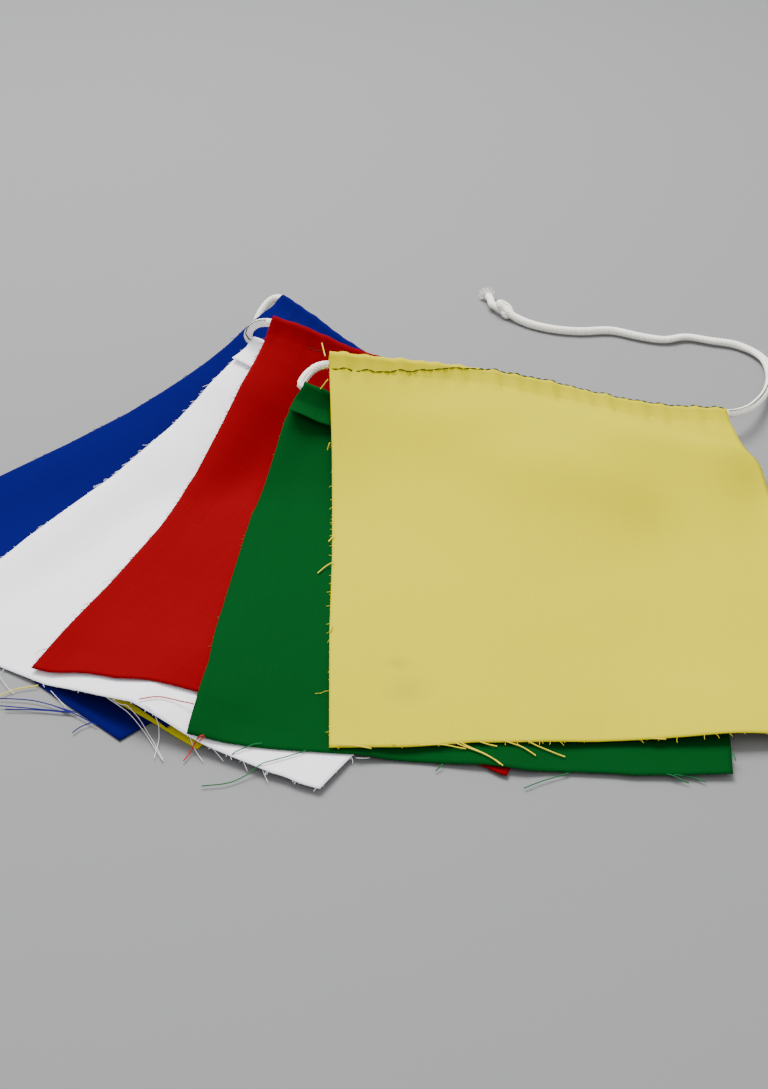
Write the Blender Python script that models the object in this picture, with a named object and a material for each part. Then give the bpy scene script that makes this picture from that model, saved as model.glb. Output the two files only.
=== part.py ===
"""String of ten plain prayer flags, folded back and forth into a low fan, with its free cord end.

Metres, +Z up.  The flags lie on the surface z = 0 with their hems to the back (+Y) and the
fan opening to the front.  The flags are laid one by one, from the bottom of the pile to the
top: each sheet takes the shape of what lies below it, or arches over it as its hem is held up
by the loops of cord.
"""

import math
from dataclasses import dataclass

import bmesh
import bpy
import numpy as np
from mathutils import Vector

# Driving dimensions
FLAG_WIDTH = 0.200
FLAG_DROP = 0.254
GREEN_DROP = 0.238
CLOTH = 0.001
CORD_RADIUS = 0.0020
HEM_FLAP = 0.020
HEM_PLIES_APART = 0.0013
HEM_ROOM = 0.0004
HEM_RADIUS = CORD_RADIUS + HEM_ROOM + CLOTH / 2
HEM_REACH = HEM_RADIUS + 0.53 * CLOTH
HEM_CREST = 0.0015
HEM_PINCH = 0.007
HEM_STEPS = 9
ROLL_START = 300
ROLL_END = 60
FLAP_ROWS = 2
CLEARANCE = 0.00035
LOOP_SPREAD = 0.004
LOOP_STUB = 0.0015
END_STUB = 0.008
STUB_SHARE = 0.7
PIECE_GAP = 0.0003

# Raster on which the pile is laid
CELL = 0.002
REACH_X = 0.256
REACH_Y = 0.240
SPREAD = 0.008
SOFTEN = 0.004
BLEND = 0.004
SINK = 0.008
FREE = -0.040
PAST_END = 0.1
PAST_HEM = 1.2
LIFTS = 6
STAMPS = 6

# Middle of the pile on the surface, in the plan in which the flags are placed below
MIDDLE_X = -0.0010
MIDDLE_Y = 0.0039


@dataclass(frozen=True)
class Flag:
    """One flag: its hem's left end and turn in plan, and how its hem is held up."""

    node: str
    colour: str
    left_x: float
    left_y: float
    turn: float
    flap_side: int
    hem_heights: tuple = None
    fall: float = 0.15
    power: float = 2.0
    columns: int = 7
    rows: int = 11
    drop: float = FLAG_DROP


OVER = 1
UNDER = -1

# From the bottom of the pile to the top; hem heights are at the left, middle and right
FLAGS = (
    Flag("flag_01_blue", "blue", -0.039, 0.174, -43.6, OVER),
    Flag("flag_02_white", "white", -0.011, 0.163, -12.0, UNDER, (0.010, 0.004, 0.004), 0.10),
    Flag("flag_03_red", "red", -0.020, 0.164, -17.0, OVER),
    Flag("flag_04_green", "green", -0.028, 0.170, -24.0, UNDER),
    Flag("flag_05_yellow", "yellow", -0.037, 0.159, -38.0, OVER, (0.028, 0.012, 0.006)),
    Flag("flag_06_blue", "blue", -0.022, 0.180, -43.6, UNDER, (0.040, 0.018, 0.009), 0.17, 2.0, 8, 13),
    Flag("flag_07_white", "white", -0.035, 0.138, -30.8, OVER, (0.034, 0.019, 0.012), 0.13, 1.2, 8, 13),
    Flag("flag_08_red", "red", -0.024, 0.132, -20.0, UNDER, (0.049, 0.027, 0.010), 0.13, 1.15, 8, 13),
    Flag("flag_09_green", "green", -0.007, 0.084, -6.9, OVER, (0.035, 0.020, 0.015), 0.12, 1.5, 8, 13,
         GREEN_DROP),
    Flag("flag_10_yellow", "yellow", 0.006, 0.095, 1.4, UNDER, (0.049, 0.0345, 0.0165), 0.14, 1.5, 8, 13),
)

# For each loop of cord, how far it swings out of the lower and of the upper of the two hems
# that it joins, and how far it sags between them
LOOPS = (
    (0.028, 0.008, 0.0),
    (0.030, 0.030, 0.006),
    (0.012, 0.012, 0.0),
    (0.012, 0.030, 0.012),
    (0.014, 0.018, 0.0),
    (0.016, 0.018, 0.014),
    (0.012, 0.018, 0.0),
    (0.045, 0.018, 0.012),
    (0.006, 0.014, 0.0),
)
LOOP_POINTS = 4

# Route of the free end of the cord, from the top flag's hem to the knot
TAIL_ROUTE = (
    (0.2150, 0.1040, 0.0130),
    (0.2260, 0.1270, 0.0085),
    (0.2330, 0.1410, 0.0055),
    (0.2391, 0.1562, 0.0032),
    (0.2428, 0.1689, 0.0024),
    (0.2429, 0.1812, 0.0024),
    (0.2399, 0.1913, 0.0024),
    (0.2346, 0.1990, 0.0024),
    (0.2272, 0.2049, 0.0024),
    (0.2177, 0.2081, 0.0024),
    (0.1921, 0.2148, 0.0024),
    (0.1616, 0.2201, 0.0024),
    (0.1309, 0.2275, 0.0024),
    (0.1105, 0.2385, 0.0028),
    (0.1010, 0.2468, 0.0036),
)
TAIL_STEP = 0.0075
CURVE_SAMPLES = 16
CORD_BEVEL = 2
KNOT_SIDES = 12
KNOT_END = (0.0953, 0.2588, 0.0038)
TIP_END = (0.0905, 0.2793, 0.0030)

# Share of the way along the knot, then its radius in cord radii; the same for the tip
KNOT_PROFILE = (
    (0.14, 1.40),
    (0.26, 1.62),
    (0.38, 1.38),
    (0.52, 1.64),
    (0.66, 1.38),
    (0.78, 1.55),
    (0.90, 1.30),
    (1.00, 1.00),
)
TIP_PROFILE = ((0.35, 0.95), (0.7, 1.0), (1.0, 1.2))

# Colours in sRGB, roughness
FINISHES = {
    "blue": ((0.02, 0.10, 0.52), 0.85),
    "white": ((0.91, 0.90, 0.93), 0.85),
    "red": ((0.66, 0.01, 0.01), 0.85),
    "green": ((0.01, 0.36, 0.10), 0.85),
    "yellow": ((0.98, 0.88, 0.24), 0.85),
    "cord": ((0.90, 0.89, 0.84), 0.90),
}


# Raster helpers
def raster_axes():
    """Return the X and Y of the raster's columns and rows."""
    x = np.arange(-REACH_X, REACH_X + CELL / 2, CELL)
    y = np.arange(-REACH_Y, REACH_Y + CELL / 2, CELL)
    return x, y


def slide(field, reach, combine):
    """Combine each cell with its neighbours up to reach away, across and then along."""
    cells = round(reach / CELL)
    for axis in (0, 1):
        pad = [(0, 0), (0, 0)]
        pad[axis] = (cells, cells)
        wide = np.pad(field, pad, mode="edge")
        steps = range(2 * cells + 1)
        shifted = [np.take(wide, range(k, k + field.shape[axis]), axis) for k in steps]
        field = combine(shifted, axis=0)
    return field


def unit(vectors):
    """Return vectors, along the last axis, at a length of one."""
    return vectors / np.linalg.norm(vectors, axis=-1, keepdims=True)


def fill_facet(low, high, columns, rows, corners):
    """Write one triangle's height into the lowest and highest found for the raster cells it covers."""
    (ax, ay, az), (bx, by, bz), (cx, cy, cz) = corners
    area = (bx - ax) * (cy - ay) - (cx - ax) * (by - ay)
    i = slice(*np.searchsorted(columns, (min(ax, bx, cx), max(ax, bx, cx))))
    j = slice(*np.searchsorted(rows, (min(ay, by, cy), max(ay, by, cy))))
    x, y = np.meshgrid(columns[i] - ax, rows[j] - ay)
    b = (x * (cy - ay) - y * (cx - ax)) / area
    c = (y * (bx - ax) - x * (by - ay)) / area
    inside = (b >= 0) & (c >= 0) & (b + c <= 1)
    level = az + b * (bz - az) + c * (cz - az)
    low[j, i] = np.where(inside, np.fmin(low[j, i], level), low[j, i])
    high[j, i] = np.where(inside, np.fmax(high[j, i], level), high[j, i])


def sample(field, x, y):
    """Read a raster field at plan positions, straight between its cells."""
    columns = np.clip((x + REACH_X) / CELL, 0, field.shape[1] - 1.001)
    rows = np.clip((y + REACH_Y) / CELL, 0, field.shape[0] - 1.001)
    i = columns.astype(int)
    j = rows.astype(int)
    a = columns - i
    b = rows - j
    near = field[j, i] * (1 - a) + field[j, i + 1] * a
    far = field[j + 1, i] * (1 - a) + field[j + 1, i + 1] * a
    return near * (1 - b) + far * b


def steepness(height):
    """Return how much longer a sloping thickness reaches straight up, over a raster."""
    rise_y, rise_x = np.gradient(height, CELL)
    return np.nan_to_num(np.sqrt(1 + rise_x**2 + rise_y**2), nan=1.0)


def soft_max(one, other):
    """Return the larger of two fields, with their meeting line rounded over."""
    overlap = np.maximum(BLEND - np.abs(one - other), 0)
    return np.maximum(one, other) + overlap**2 / (4 * BLEND)


def smooth_curve(route, step):
    """Return points about a step apart on a smooth curve through the route's points."""
    route = np.array(route)
    wide = np.vstack((2 * route[0] - route[1], route, 2 * route[-1] - route[-2]))
    dense = []
    for before, start, end, after in zip(wide, wide[1:], wide[2:], wide[3:]):
        for a in np.linspace(0, 1, CURVE_SAMPLES, endpoint=False):
            bend = 2 * start + (end - before) * a
            bend += (2 * before - 5 * start + 4 * end - after) * a**2
            bend += (3 * start - before - 3 * end + after) * a**3
            dense.append(bend / 2)
    dense.append(route[-1])
    dense = np.array(dense)
    run = np.concatenate(([0], np.cumsum(np.linalg.norm(np.diff(dense, axis=0), axis=1))))
    stations = np.linspace(0, run[-1], round(run[-1] / step) + 1)
    return np.column_stack([np.interp(stations, run, dense[:, axis]) for axis in range(3)])


class Sheet:
    """The shape of one laid flag: a spine of rows down the cloth, for each of its columns."""

    def __init__(self, flag):
        turn = math.radians(flag.turn)
        self.flag = flag
        self.corner = np.array((flag.left_x - MIDDLE_X, flag.left_y - MIDDLE_Y))
        self.along = np.array((math.cos(turn), math.sin(turn)))
        self.down = np.array((math.sin(turn), -math.cos(turn)))
        self.t = np.linspace(0, FLAG_WIDTH, flag.columns + 1)
        body = np.linspace(HEM_FLAP, flag.drop, flag.rows + 1)
        self.q = np.concatenate(((0, HEM_PINCH), body))
        self.s = None
        self.z = None

    def place(self, x, y):
        """Return how far down and how far along the flag plan positions lie."""
        dx = x - self.corner[0]
        dy = y - self.corner[1]
        down = dx * self.down[0] + dy * self.down[1]
        along = dx * self.along[0] + dy * self.along[1]
        return down, along

    def depths(self, down, along, steep):
        """Return how far the solid reaches below and above the middle of its cloth."""
        offset = self.flag.flap_side * HEM_PLIES_APART / 2
        inside = (along > 0) & (along < FLAG_WIDTH) & (down < self.flag.drop)
        tube = down > -HEM_REACH - CLEARANCE
        flap = tube & (down < HEM_FLAP + CLEARANCE)
        below = np.full(down.shape, CLOTH / 2)
        above = np.full(down.shape, CLOTH / 2)
        if self.flag.flap_side == UNDER:
            below[inside & flap] += HEM_PLIES_APART
        else:
            above[flap] += HEM_PLIES_APART
        below *= steep
        above *= steep
        crest = np.interp(down, (HEM_CREST, HEM_PINCH), (1, 0)) * tube
        below = np.maximum(below, below + crest * inside * (HEM_REACH - offset - below))
        above = np.maximum(above, above + crest * (HEM_REACH + offset - above))
        return below, above

    def held_height(self, down, along):
        """Return the height at which the cords would hold the sheet, with nothing under it."""
        if self.flag.hem_heights is None:
            return np.full(down.shape, FREE)
        left, middle, right = self.flag.hem_heights
        e = np.clip(along / FLAG_WIDTH, -PAST_END, 1 + PAST_END)
        hem = left * (1 - e) * (1 - 2 * e) + middle * 4 * e * (1 - e) + right * e * (2 * e - 1)
        hold = np.clip(1 - down / self.flag.fall, 0, PAST_HEM) ** self.flag.power
        return hem * hold - SINK * (1 - hold)

    def drape(self, height):
        """Walk down the cloth in equal steps of its length, over the raster of heights."""
        steps = np.arange(0, self.flag.drop + CELL / 2, CELL)
        start = self.corner[None, :] + self.t[:, None] * self.along[None, :]
        down = np.zeros((len(steps), len(self.t)))
        level = np.zeros_like(down)
        level[0] = sample(height, start[:, 0], start[:, 1])
        for k in range(1, len(steps)):
            trial = start + (down[k - 1] + CELL)[:, None] * self.down
            slope = (sample(height, trial[:, 0], trial[:, 1]) - level[k - 1]) / CELL
            down[k] = down[k - 1] + CELL / np.sqrt(1 + slope**2)
            spot = start + down[k][:, None] * self.down
            level[k] = sample(height, spot[:, 0], spot[:, 1])
        columns = range(len(self.t))
        self.s = np.column_stack([np.interp(self.q, steps, down[:, j]) for j in columns])
        self.z = np.column_stack([np.interp(self.q, steps, level[:, j]) for j in columns])

    def facet_heights(self, columns, rows):
        """Return the lowest and highest that the spine's facets may be, however a quad is split."""
        lip = HEM_RADIUS + CLOTH
        spine = self.spine_points()
        back = np.append(-lip * self.down, 0)
        wide = np.concatenate((spine[:1] + back, spine))
        left = np.append(-lip * self.along, 0)
        wide = np.concatenate((wide[:, :1] + left, wide, wide[:, -1:] - left), axis=1)
        low = np.full((len(rows), len(columns)), np.nan)
        high = low.copy()
        for i in range(wide.shape[0] - 1):
            for j in range(wide.shape[1] - 1):
                quad = (wide[i, j], wide[i, j + 1], wide[i + 1, j + 1], wide[i + 1, j])
                for k in range(4):
                    fill_facet(low, high, columns, rows, (quad[k - 2], quad[k - 1], quad[k]))
        return low, high

    def lift_clear(self, facets, down, along, need):
        """Raise the corners of every facet that would cut into what lies below it."""
        covered = ~np.isnan(facets)
        lack = np.maximum(need[covered] - facets[covered], 0)
        row = np.searchsorted(self.s.mean(axis=1), down[covered]) - 1
        column = np.searchsorted(self.t, along[covered]) - 1
        rows = len(self.q) - 1
        columns = len(self.t) - 1
        worst = np.zeros((rows, columns))
        np.maximum.at(worst, (np.clip(row, 0, rows - 1), np.clip(column, 0, columns - 1)), lack)
        lift = np.zeros_like(self.z)
        for i in (0, 1):
            for j in (0, 1):
                part = lift[i:i + rows, j:j + columns]
                np.maximum(part, worst, out=part)
        lift[:3] = lift[:3].max(axis=0)
        self.z += lift
        return lift.max()

    def frames(self):
        """Return the down and up directions of the cloth at its first rows, for each column."""
        spine = self.spine_points()[:4]
        run = unit(np.diff(spine, axis=0))
        across = np.stack((run[0], run[0] + run[1], run[1] + run[2]))
        wide = np.concatenate((across[:, :1], across, across[:, -1:]), axis=1)
        across = unit(wide[:, :-2] + wide[:, 1:-1] * 2 + wide[:, 2:])
        hem = np.gradient(spine[0], axis=0)
        up = unit(np.cross(hem, -across))
        return unit(np.cross(hem, up)), up

    def spine_points(self):
        """Return the spine's points in space, as rows by columns by three."""
        plan = self.corner + self.t[None, :, None] * self.along + self.s[..., None] * self.down
        return np.concatenate((plan, self.z[..., None]), axis=-1)

    def hem_line(self):
        """Return the middle line of the cord inside the hem, from the left end to the right."""
        up = self.frames()[1]
        return self.spine_points()[0] + up[0] * self.flag.flap_side * HEM_PLIES_APART / 2

    def outward(self, side):
        """Return the direction in which the cord leaves the hem, at the left (-1) or right (+1)."""
        line = self.hem_line()
        run = line[-1] - line[-2] if side > 0 else line[0] - line[1]
        return run / np.linalg.norm(run)

    def hem_end(self, side):
        """Return the cord's point at the hem's left or right end."""
        line = self.hem_line()
        return line[-1] if side > 0 else line[0]

    def section_points(self):
        """Return the cloth's grid: the hem's flap, its roll around the cord, and the sheet."""
        spine = self.spine_points()
        across, up = self.frames()
        side = self.flag.flap_side
        middle = self.hem_line()
        flap = range(FLAP_ROWS, 0, -1)
        rows = [spine[k] + up[k] * side * HEM_PLIES_APART for k in flap]
        for angle in np.radians(np.linspace(ROLL_START, ROLL_END, HEM_STEPS)):
            rim = across[0] * math.cos(angle) - up[0] * side * math.sin(angle)
            rows.append(middle + HEM_RADIUS * rim)
        rows.extend(spine[1:])
        return np.array(rows)


def stamp_cord(top, x, y, points):
    """Raise the top of the pile along a run of loose cord."""
    reach = CORD_RADIUS + CLEARANCE
    for start, end in zip(points, points[1:]):
        for share in np.linspace(0, 1, STAMPS):
            spot = start + (end - start) * share
            near = np.hypot(x - spot[0], y - spot[1]) < reach
            top[near] = np.maximum(top[near], spot[2] + CORD_RADIUS)


def loop_points(lower, upper, side, shape, floor):
    """Return the loop of cord between two hems, from the lower hem's end to the upper's."""
    swing_low, swing_high, sag = shape
    leave = lower.outward(side)
    arrive = upper.outward(side)
    leave[2] = 0
    arrive[2] = 0
    first = lower.hem_end(side) + leave * LOOP_STUB
    last = upper.hem_end(side) + arrive * LOOP_STUB
    drop = np.array((0, 0, sag))
    handles = (first, first + leave * swing_low - drop, last + arrive * swing_high - drop, last)
    wide_floor = slide(floor, LOOP_SPREAD, np.max)
    points = [first]
    for a in np.linspace(0, 1, LOOP_POINTS + 2)[1:-1]:
        weights = ((1 - a) ** 3, 3 * a * (1 - a) ** 2, 3 * a**2 * (1 - a), a**3)
        spot = sum(w * handle for w, handle in zip(weights, handles))
        points.append(rest_on(spot, wide_floor if len(points) > 1 else floor))
    return points + [last]


def rest_on(spot, floor):
    """Return a point of a cord lifted, where it has to be, to lie on what is under it."""
    return np.array((*spot[:2], max(spot[2], sample(floor, *spot[:2]) + CORD_RADIUS + CLEARANCE)))


def lay_pile():
    """Lay all the flags; return their sheets and the loops of cord between them."""
    columns, rows = raster_axes()
    x, y = np.meshgrid(columns, rows)
    top = np.zeros_like(x)
    bare = top
    sheets = []
    loops = []
    for level, flag in enumerate(FLAGS):
        sheet = Sheet(flag)
        down, along = sheet.place(x, y)
        below, _ = sheet.depths(down, along, 1)
        gap = CLEARANCE * (top > 0)
        need = top + below + gap
        rest = slide(slide(slide(need, SPREAD, np.max), SOFTEN, np.mean), SOFTEN, np.mean)
        sheet.drape(soft_max(sheet.held_height(down, along), rest))
        low, high = sheet.facet_heights(columns, rows)
        for _ in range(LIFTS if level else 0):
            below, _ = sheet.depths(down, along, steepness(low))
            if sheet.lift_clear(low, down, along, top + below + gap) < CLEARANCE / 10:
                break
            low, high = sheet.facet_heights(columns, rows)
        _, above = sheet.depths(down, along, steepness(high))
        covered = ~np.isnan(high)
        before = top.copy()
        top[covered] = np.maximum(top[covered], high[covered] + above[covered])
        near = 1 if level % 2 else -1
        if sheets:
            loops.append(loop_points(sheets[-1], sheet, -near, LOOPS[level - 1], bare))
            stamp_cord(top, x, y, loops[-1])
        else:
            stamp_end(top, x, y, sheet, -near, (END_STUB, 0), before)
        bare = top.copy()
        if level < len(LOOPS):
            stamp_end(top, x, y, sheet, near, (LOOPS[level][0], LOOPS[level][2]), before)
        sheets.append(sheet)
    return sheets, loops


def stamp_end(top, x, y, sheet, side, shape, floor):
    """Raise the pile's top over the cord that leaves a hem's end, before its loop is known."""
    swing, sag = shape
    end = sheet.hem_end(side)
    tip = end + STUB_SHARE * (sheet.outward(side) * swing - np.array((0, 0, sag)))
    stamp_cord(top, x, y, [end, rest_on(tip, floor)])


def cord_route(sheets, loops):
    """Return the cord's points from its hidden end, through all ten hems, to the top flag's end."""
    first = sheets[0]
    route = [first.hem_end(1) + first.outward(1) * END_STUB]
    for level, sheet in enumerate(sheets):
        line = list(sheet.hem_line())
        route.extend(line if level % 2 else line[::-1])
        if level < len(loops):
            route.extend(loops[level])
    return np.array(route)


# Blender objects
def clear_scene():
    """Remove every object that the file starts with."""
    for item in list(bpy.data.objects):
        bpy.data.objects.remove(item, do_unlink=True)


def linear(value):
    """Turn one sRGB channel into linear light."""
    return value / 12.92 if value <= 0.04045 else ((value + 0.055) / 1.055) ** 2.4


def finish(name):
    """Return the material of a colour name."""
    material = bpy.data.materials.get(name)
    if material is None:
        colour, roughness = FINISHES[name]
        material = bpy.data.materials.new(name)
        material.use_nodes = True
        shader = material.node_tree.nodes["Principled BSDF"]
        shader.inputs["Base Color"].default_value = (*(linear(c) for c in colour), 1)
        shader.inputs["Roughness"].default_value = roughness
        shader.inputs["Metallic"].default_value = 0.0
    return material


def add_object(name, data, material):
    """Link a new object that carries the data and its material."""
    item = bpy.data.objects.new(name, data)
    bpy.context.scene.collection.objects.link(item)
    data.materials.append(finish(material))
    return item


def add_flag(sheet):
    """Make one flag with its hem as a single closed piece of cloth."""
    points = sheet.section_points()
    rows, columns, _ = points.shape
    shape = bmesh.new()
    bmesh.ops.create_grid(shape, x_segments=columns - 1, y_segments=rows - 1, size=FLAG_WIDTH)
    for vertex, place in zip(shape.verts, points.reshape(-1, 3)):
        vertex.co = place
    flap_end = columns * (FLAP_ROWS + HEM_STEPS // 2 + 1)
    flap = [face for face in shape.faces if max(v.index for v in face.verts) < flap_end]
    sheet_faces = [face for face in shape.faces if max(v.index for v in face.verts) >= flap_end]
    bmesh.ops.triangulate(shape, faces=sheet_faces, quad_method="FIXED")
    bmesh.ops.triangulate(shape, faces=flap, quad_method="ALTERNATE")
    mesh = bpy.data.meshes.new(sheet.flag.node)
    shape.to_mesh(mesh)
    shape.free()
    mesh.shade_smooth()
    flag = add_object(sheet.flag.node, mesh, sheet.flag.colour)
    thick = flag.modifiers.new("cloth", "SOLIDIFY")
    thick.thickness = CLOTH
    thick.offset = 0
    thick.use_even_offset = True
    return flag


def add_cord(name, points):
    """Make a round cord through points, closed at both ends."""
    curve = bpy.data.curves.new(name, "CURVE")
    curve.dimensions = "3D"
    curve.bevel_depth = CORD_RADIUS
    curve.bevel_resolution = CORD_BEVEL
    curve.use_fill_caps = True
    line = curve.splines.new("POLY")
    line.points.add(len(points) - 1)
    for spot, place in zip(line.points, points):
        spot.co = (*place, 1)
    return add_object(name, curve, "cord")


def add_knot(start, way, middle, end):
    """Make the plain knot at the cord's free end, with the short tip beyond it."""
    axis = Vector(middle) - Vector(start)
    shape = bmesh.new()
    rings = [(Vector(start), CORD_RADIUS, Vector(way))]
    for share, radius in KNOT_PROFILE:
        rings.append((Vector(start) + axis * share, radius * CORD_RADIUS, axis))
    lean = Vector(end) - Vector(middle)
    for share, radius in TIP_PROFILE:
        rings.append((Vector(middle) + lean * share, radius * CORD_RADIUS, lean))
    loops = []
    for centre, radius, way in rings:
        turn = way.to_track_quat("Z", "Y").to_matrix().to_4x4()
        turn.translation = centre
        made = bmesh.ops.create_circle(shape, segments=KNOT_SIDES, radius=radius, matrix=turn)
        loops.append(made["verts"])
    for here, there in zip(loops, loops[1:]):
        both = [e for e in shape.edges if all(v in here for v in e.verts)]
        both += [e for e in shape.edges if all(v in there for v in e.verts)]
        bmesh.ops.bridge_loops(shape, edges=both)
    shape.faces.new(loops[0])
    shape.faces.new(loops[-1])
    bmesh.ops.recalc_face_normals(shape, faces=shape.faces[:])
    mesh = bpy.data.meshes.new("tail_knot")
    shape.to_mesh(mesh)
    shape.free()
    mesh.shade_smooth()
    return add_object("tail_knot", mesh, "cord")


def main():
    """Build the string of flags."""
    clear_scene()
    sheets, loops = lay_pile()
    for sheet in sheets:
        add_flag(sheet)
    route = cord_route(sheets, loops)
    add_cord("hem_cord", route)
    leave = sheets[-1].outward(1)
    start = route[-1] + leave * PIECE_GAP
    shift = np.array((MIDDLE_X, MIDDLE_Y, 0))
    bend = start + leave * LOOP_STUB
    tail = smooth_curve([bend, bend + leave * LOOP_STUB, *(np.array(TAIL_ROUTE) - shift)], TAIL_STEP)
    add_cord("tail_cord", [start, *tail])
    knot_way = unit(tail[-1] - tail[-2])
    knot_start = tail[-1] + knot_way * PIECE_GAP
    add_knot(knot_start, knot_way, np.array(KNOT_END) - shift, np.array(TIP_END) - shift)


main()
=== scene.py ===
import logging
import math
from collections.abc import Callable, Sequence
from dataclasses import dataclass
from enum import Enum, IntEnum

import bmesh
import bpy
import numpy as np
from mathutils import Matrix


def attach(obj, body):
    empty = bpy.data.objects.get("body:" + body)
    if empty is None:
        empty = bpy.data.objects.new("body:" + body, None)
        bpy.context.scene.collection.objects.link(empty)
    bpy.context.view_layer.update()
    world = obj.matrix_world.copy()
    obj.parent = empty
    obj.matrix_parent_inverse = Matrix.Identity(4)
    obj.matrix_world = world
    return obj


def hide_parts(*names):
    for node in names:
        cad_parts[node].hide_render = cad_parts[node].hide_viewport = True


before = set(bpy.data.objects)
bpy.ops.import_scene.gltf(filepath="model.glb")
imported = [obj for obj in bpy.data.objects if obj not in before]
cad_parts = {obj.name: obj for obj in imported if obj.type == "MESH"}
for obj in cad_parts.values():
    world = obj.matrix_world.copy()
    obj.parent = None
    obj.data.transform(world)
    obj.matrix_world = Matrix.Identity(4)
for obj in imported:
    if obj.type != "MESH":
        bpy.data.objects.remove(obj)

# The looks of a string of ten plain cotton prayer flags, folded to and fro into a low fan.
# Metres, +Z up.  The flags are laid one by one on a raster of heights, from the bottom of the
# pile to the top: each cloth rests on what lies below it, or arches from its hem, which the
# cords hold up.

LOG = logging.getLogger("flag_string")
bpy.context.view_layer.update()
BODY = "root"

Table = tuple[tuple[float, ...], ...]

# Cloth and cord
FLAG_WIDTH = 0.200
FLAG_DROP = 0.254
GREEN_DROP = 0.238
CLOTH = 0.00036
CORD_RADIUS = 0.0021
HEM_FLAP = 0.020
HEM_PLIES_APART = 0.0006
HEM_RADIUS = CORD_RADIUS + 0.00045
HEM_CREST = 0.0015
HEM_PINCH = 0.0065
HEM_STEPS = 15
ROLL_START = 300.0
ROLL_END = 60.0
ROLL_ARC = math.radians(ROLL_START - ROLL_END)
FLAP_ROWS = 8
CURVE_SAMPLES = 16
CLEARANCE = 0.00025
LOOP_STUB = 0.0015
END_STUB = 0.008

# Raster of heights on which the pile is laid
CELL = 0.002
REACH_X = 0.256
REACH_Y = 0.240
SPREAD = 0.005
SOFTEN = 0.004
BLEND = 0.004
SINK = 0.008
# Height that a flag would take if nothing held it or lay under it
FREE = -0.040
# How much higher than its hem a flag may be held behind the hem, as a share
PAST_HEM = 1.2
# Keeps a place on the raster's rim inside its last cell
LAST_CELL = 1.001

# Middle of the pile in the plan in which the flags are placed below
MIDDLE = np.array((-0.0010, 0.0039, 0.0))


class Flap(IntEnum):
    """On which side of the cloth a hem's turned-down flap lies."""

    OVER = 1
    UNDER = -1


class End(IntEnum):
    """An end of a hem, seen with the cloth hanging towards the viewer."""

    LEFT = -1
    RIGHT = 1


class Coords(Enum):
    """The map that a pattern follows."""

    CLOTH = "cloth"
    CORD = "cord"


class Mixed(IntEnum):
    """Sockets of a Mix node that mixes two colours."""

    RESULT = 2
    FIRST = 6
    SECOND = 7


# Finishes
def linear(hex_colour: str) -> tuple[float, float, float, float]:
    """Turn an sRGB hex colour into linear light.

    Args:
        hex_colour: Six hex digits after a hash sign.

    Returns:
        Red, green, blue and an alpha of one.
    """
    channels = [int(hex_colour[k:k + 2], 16) / 255 for k in (1, 3, 5)]
    light = [c / 12.92 if c <= 0.04045 else ((c + 0.055) / 1.055) ** 2.4 for c in channels]
    return (*light, 1.0)


def add_node(tree: bpy.types.NodeTree, kind: str, settings: dict | None = None,
             inputs: dict | None = None) -> bpy.types.Node:
    """Add a shader node with its settings and links.

    Args:
        tree: The material's node tree.
        kind: The node's type name, without its leading "ShaderNode".
        settings: Values of the node's own properties.
        inputs: Values, or output sockets to link, by input name or number.

    Returns:
        The new node.
    """
    node = tree.nodes.new("ShaderNode" + kind)
    for name, value in (settings or {}).items():
        setattr(node, name, value)
    for name, value in (inputs or {}).items():
        if isinstance(value, bpy.types.NodeSocket):
            tree.links.new(value, node.inputs[name])
        else:
            node.inputs[name].default_value = value
    return node


def new_material(name: str) -> tuple[bpy.types.Material, bpy.types.NodeTree, bpy.types.Node]:
    """Start a material.

    Args:
        name: The material's name.

    Returns:
        The material, its node tree and its Principled shader.
    """
    material = bpy.data.materials.new(name)
    material.use_nodes = True
    return material, material.node_tree, material.node_tree.nodes["Principled BSDF"]


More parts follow.
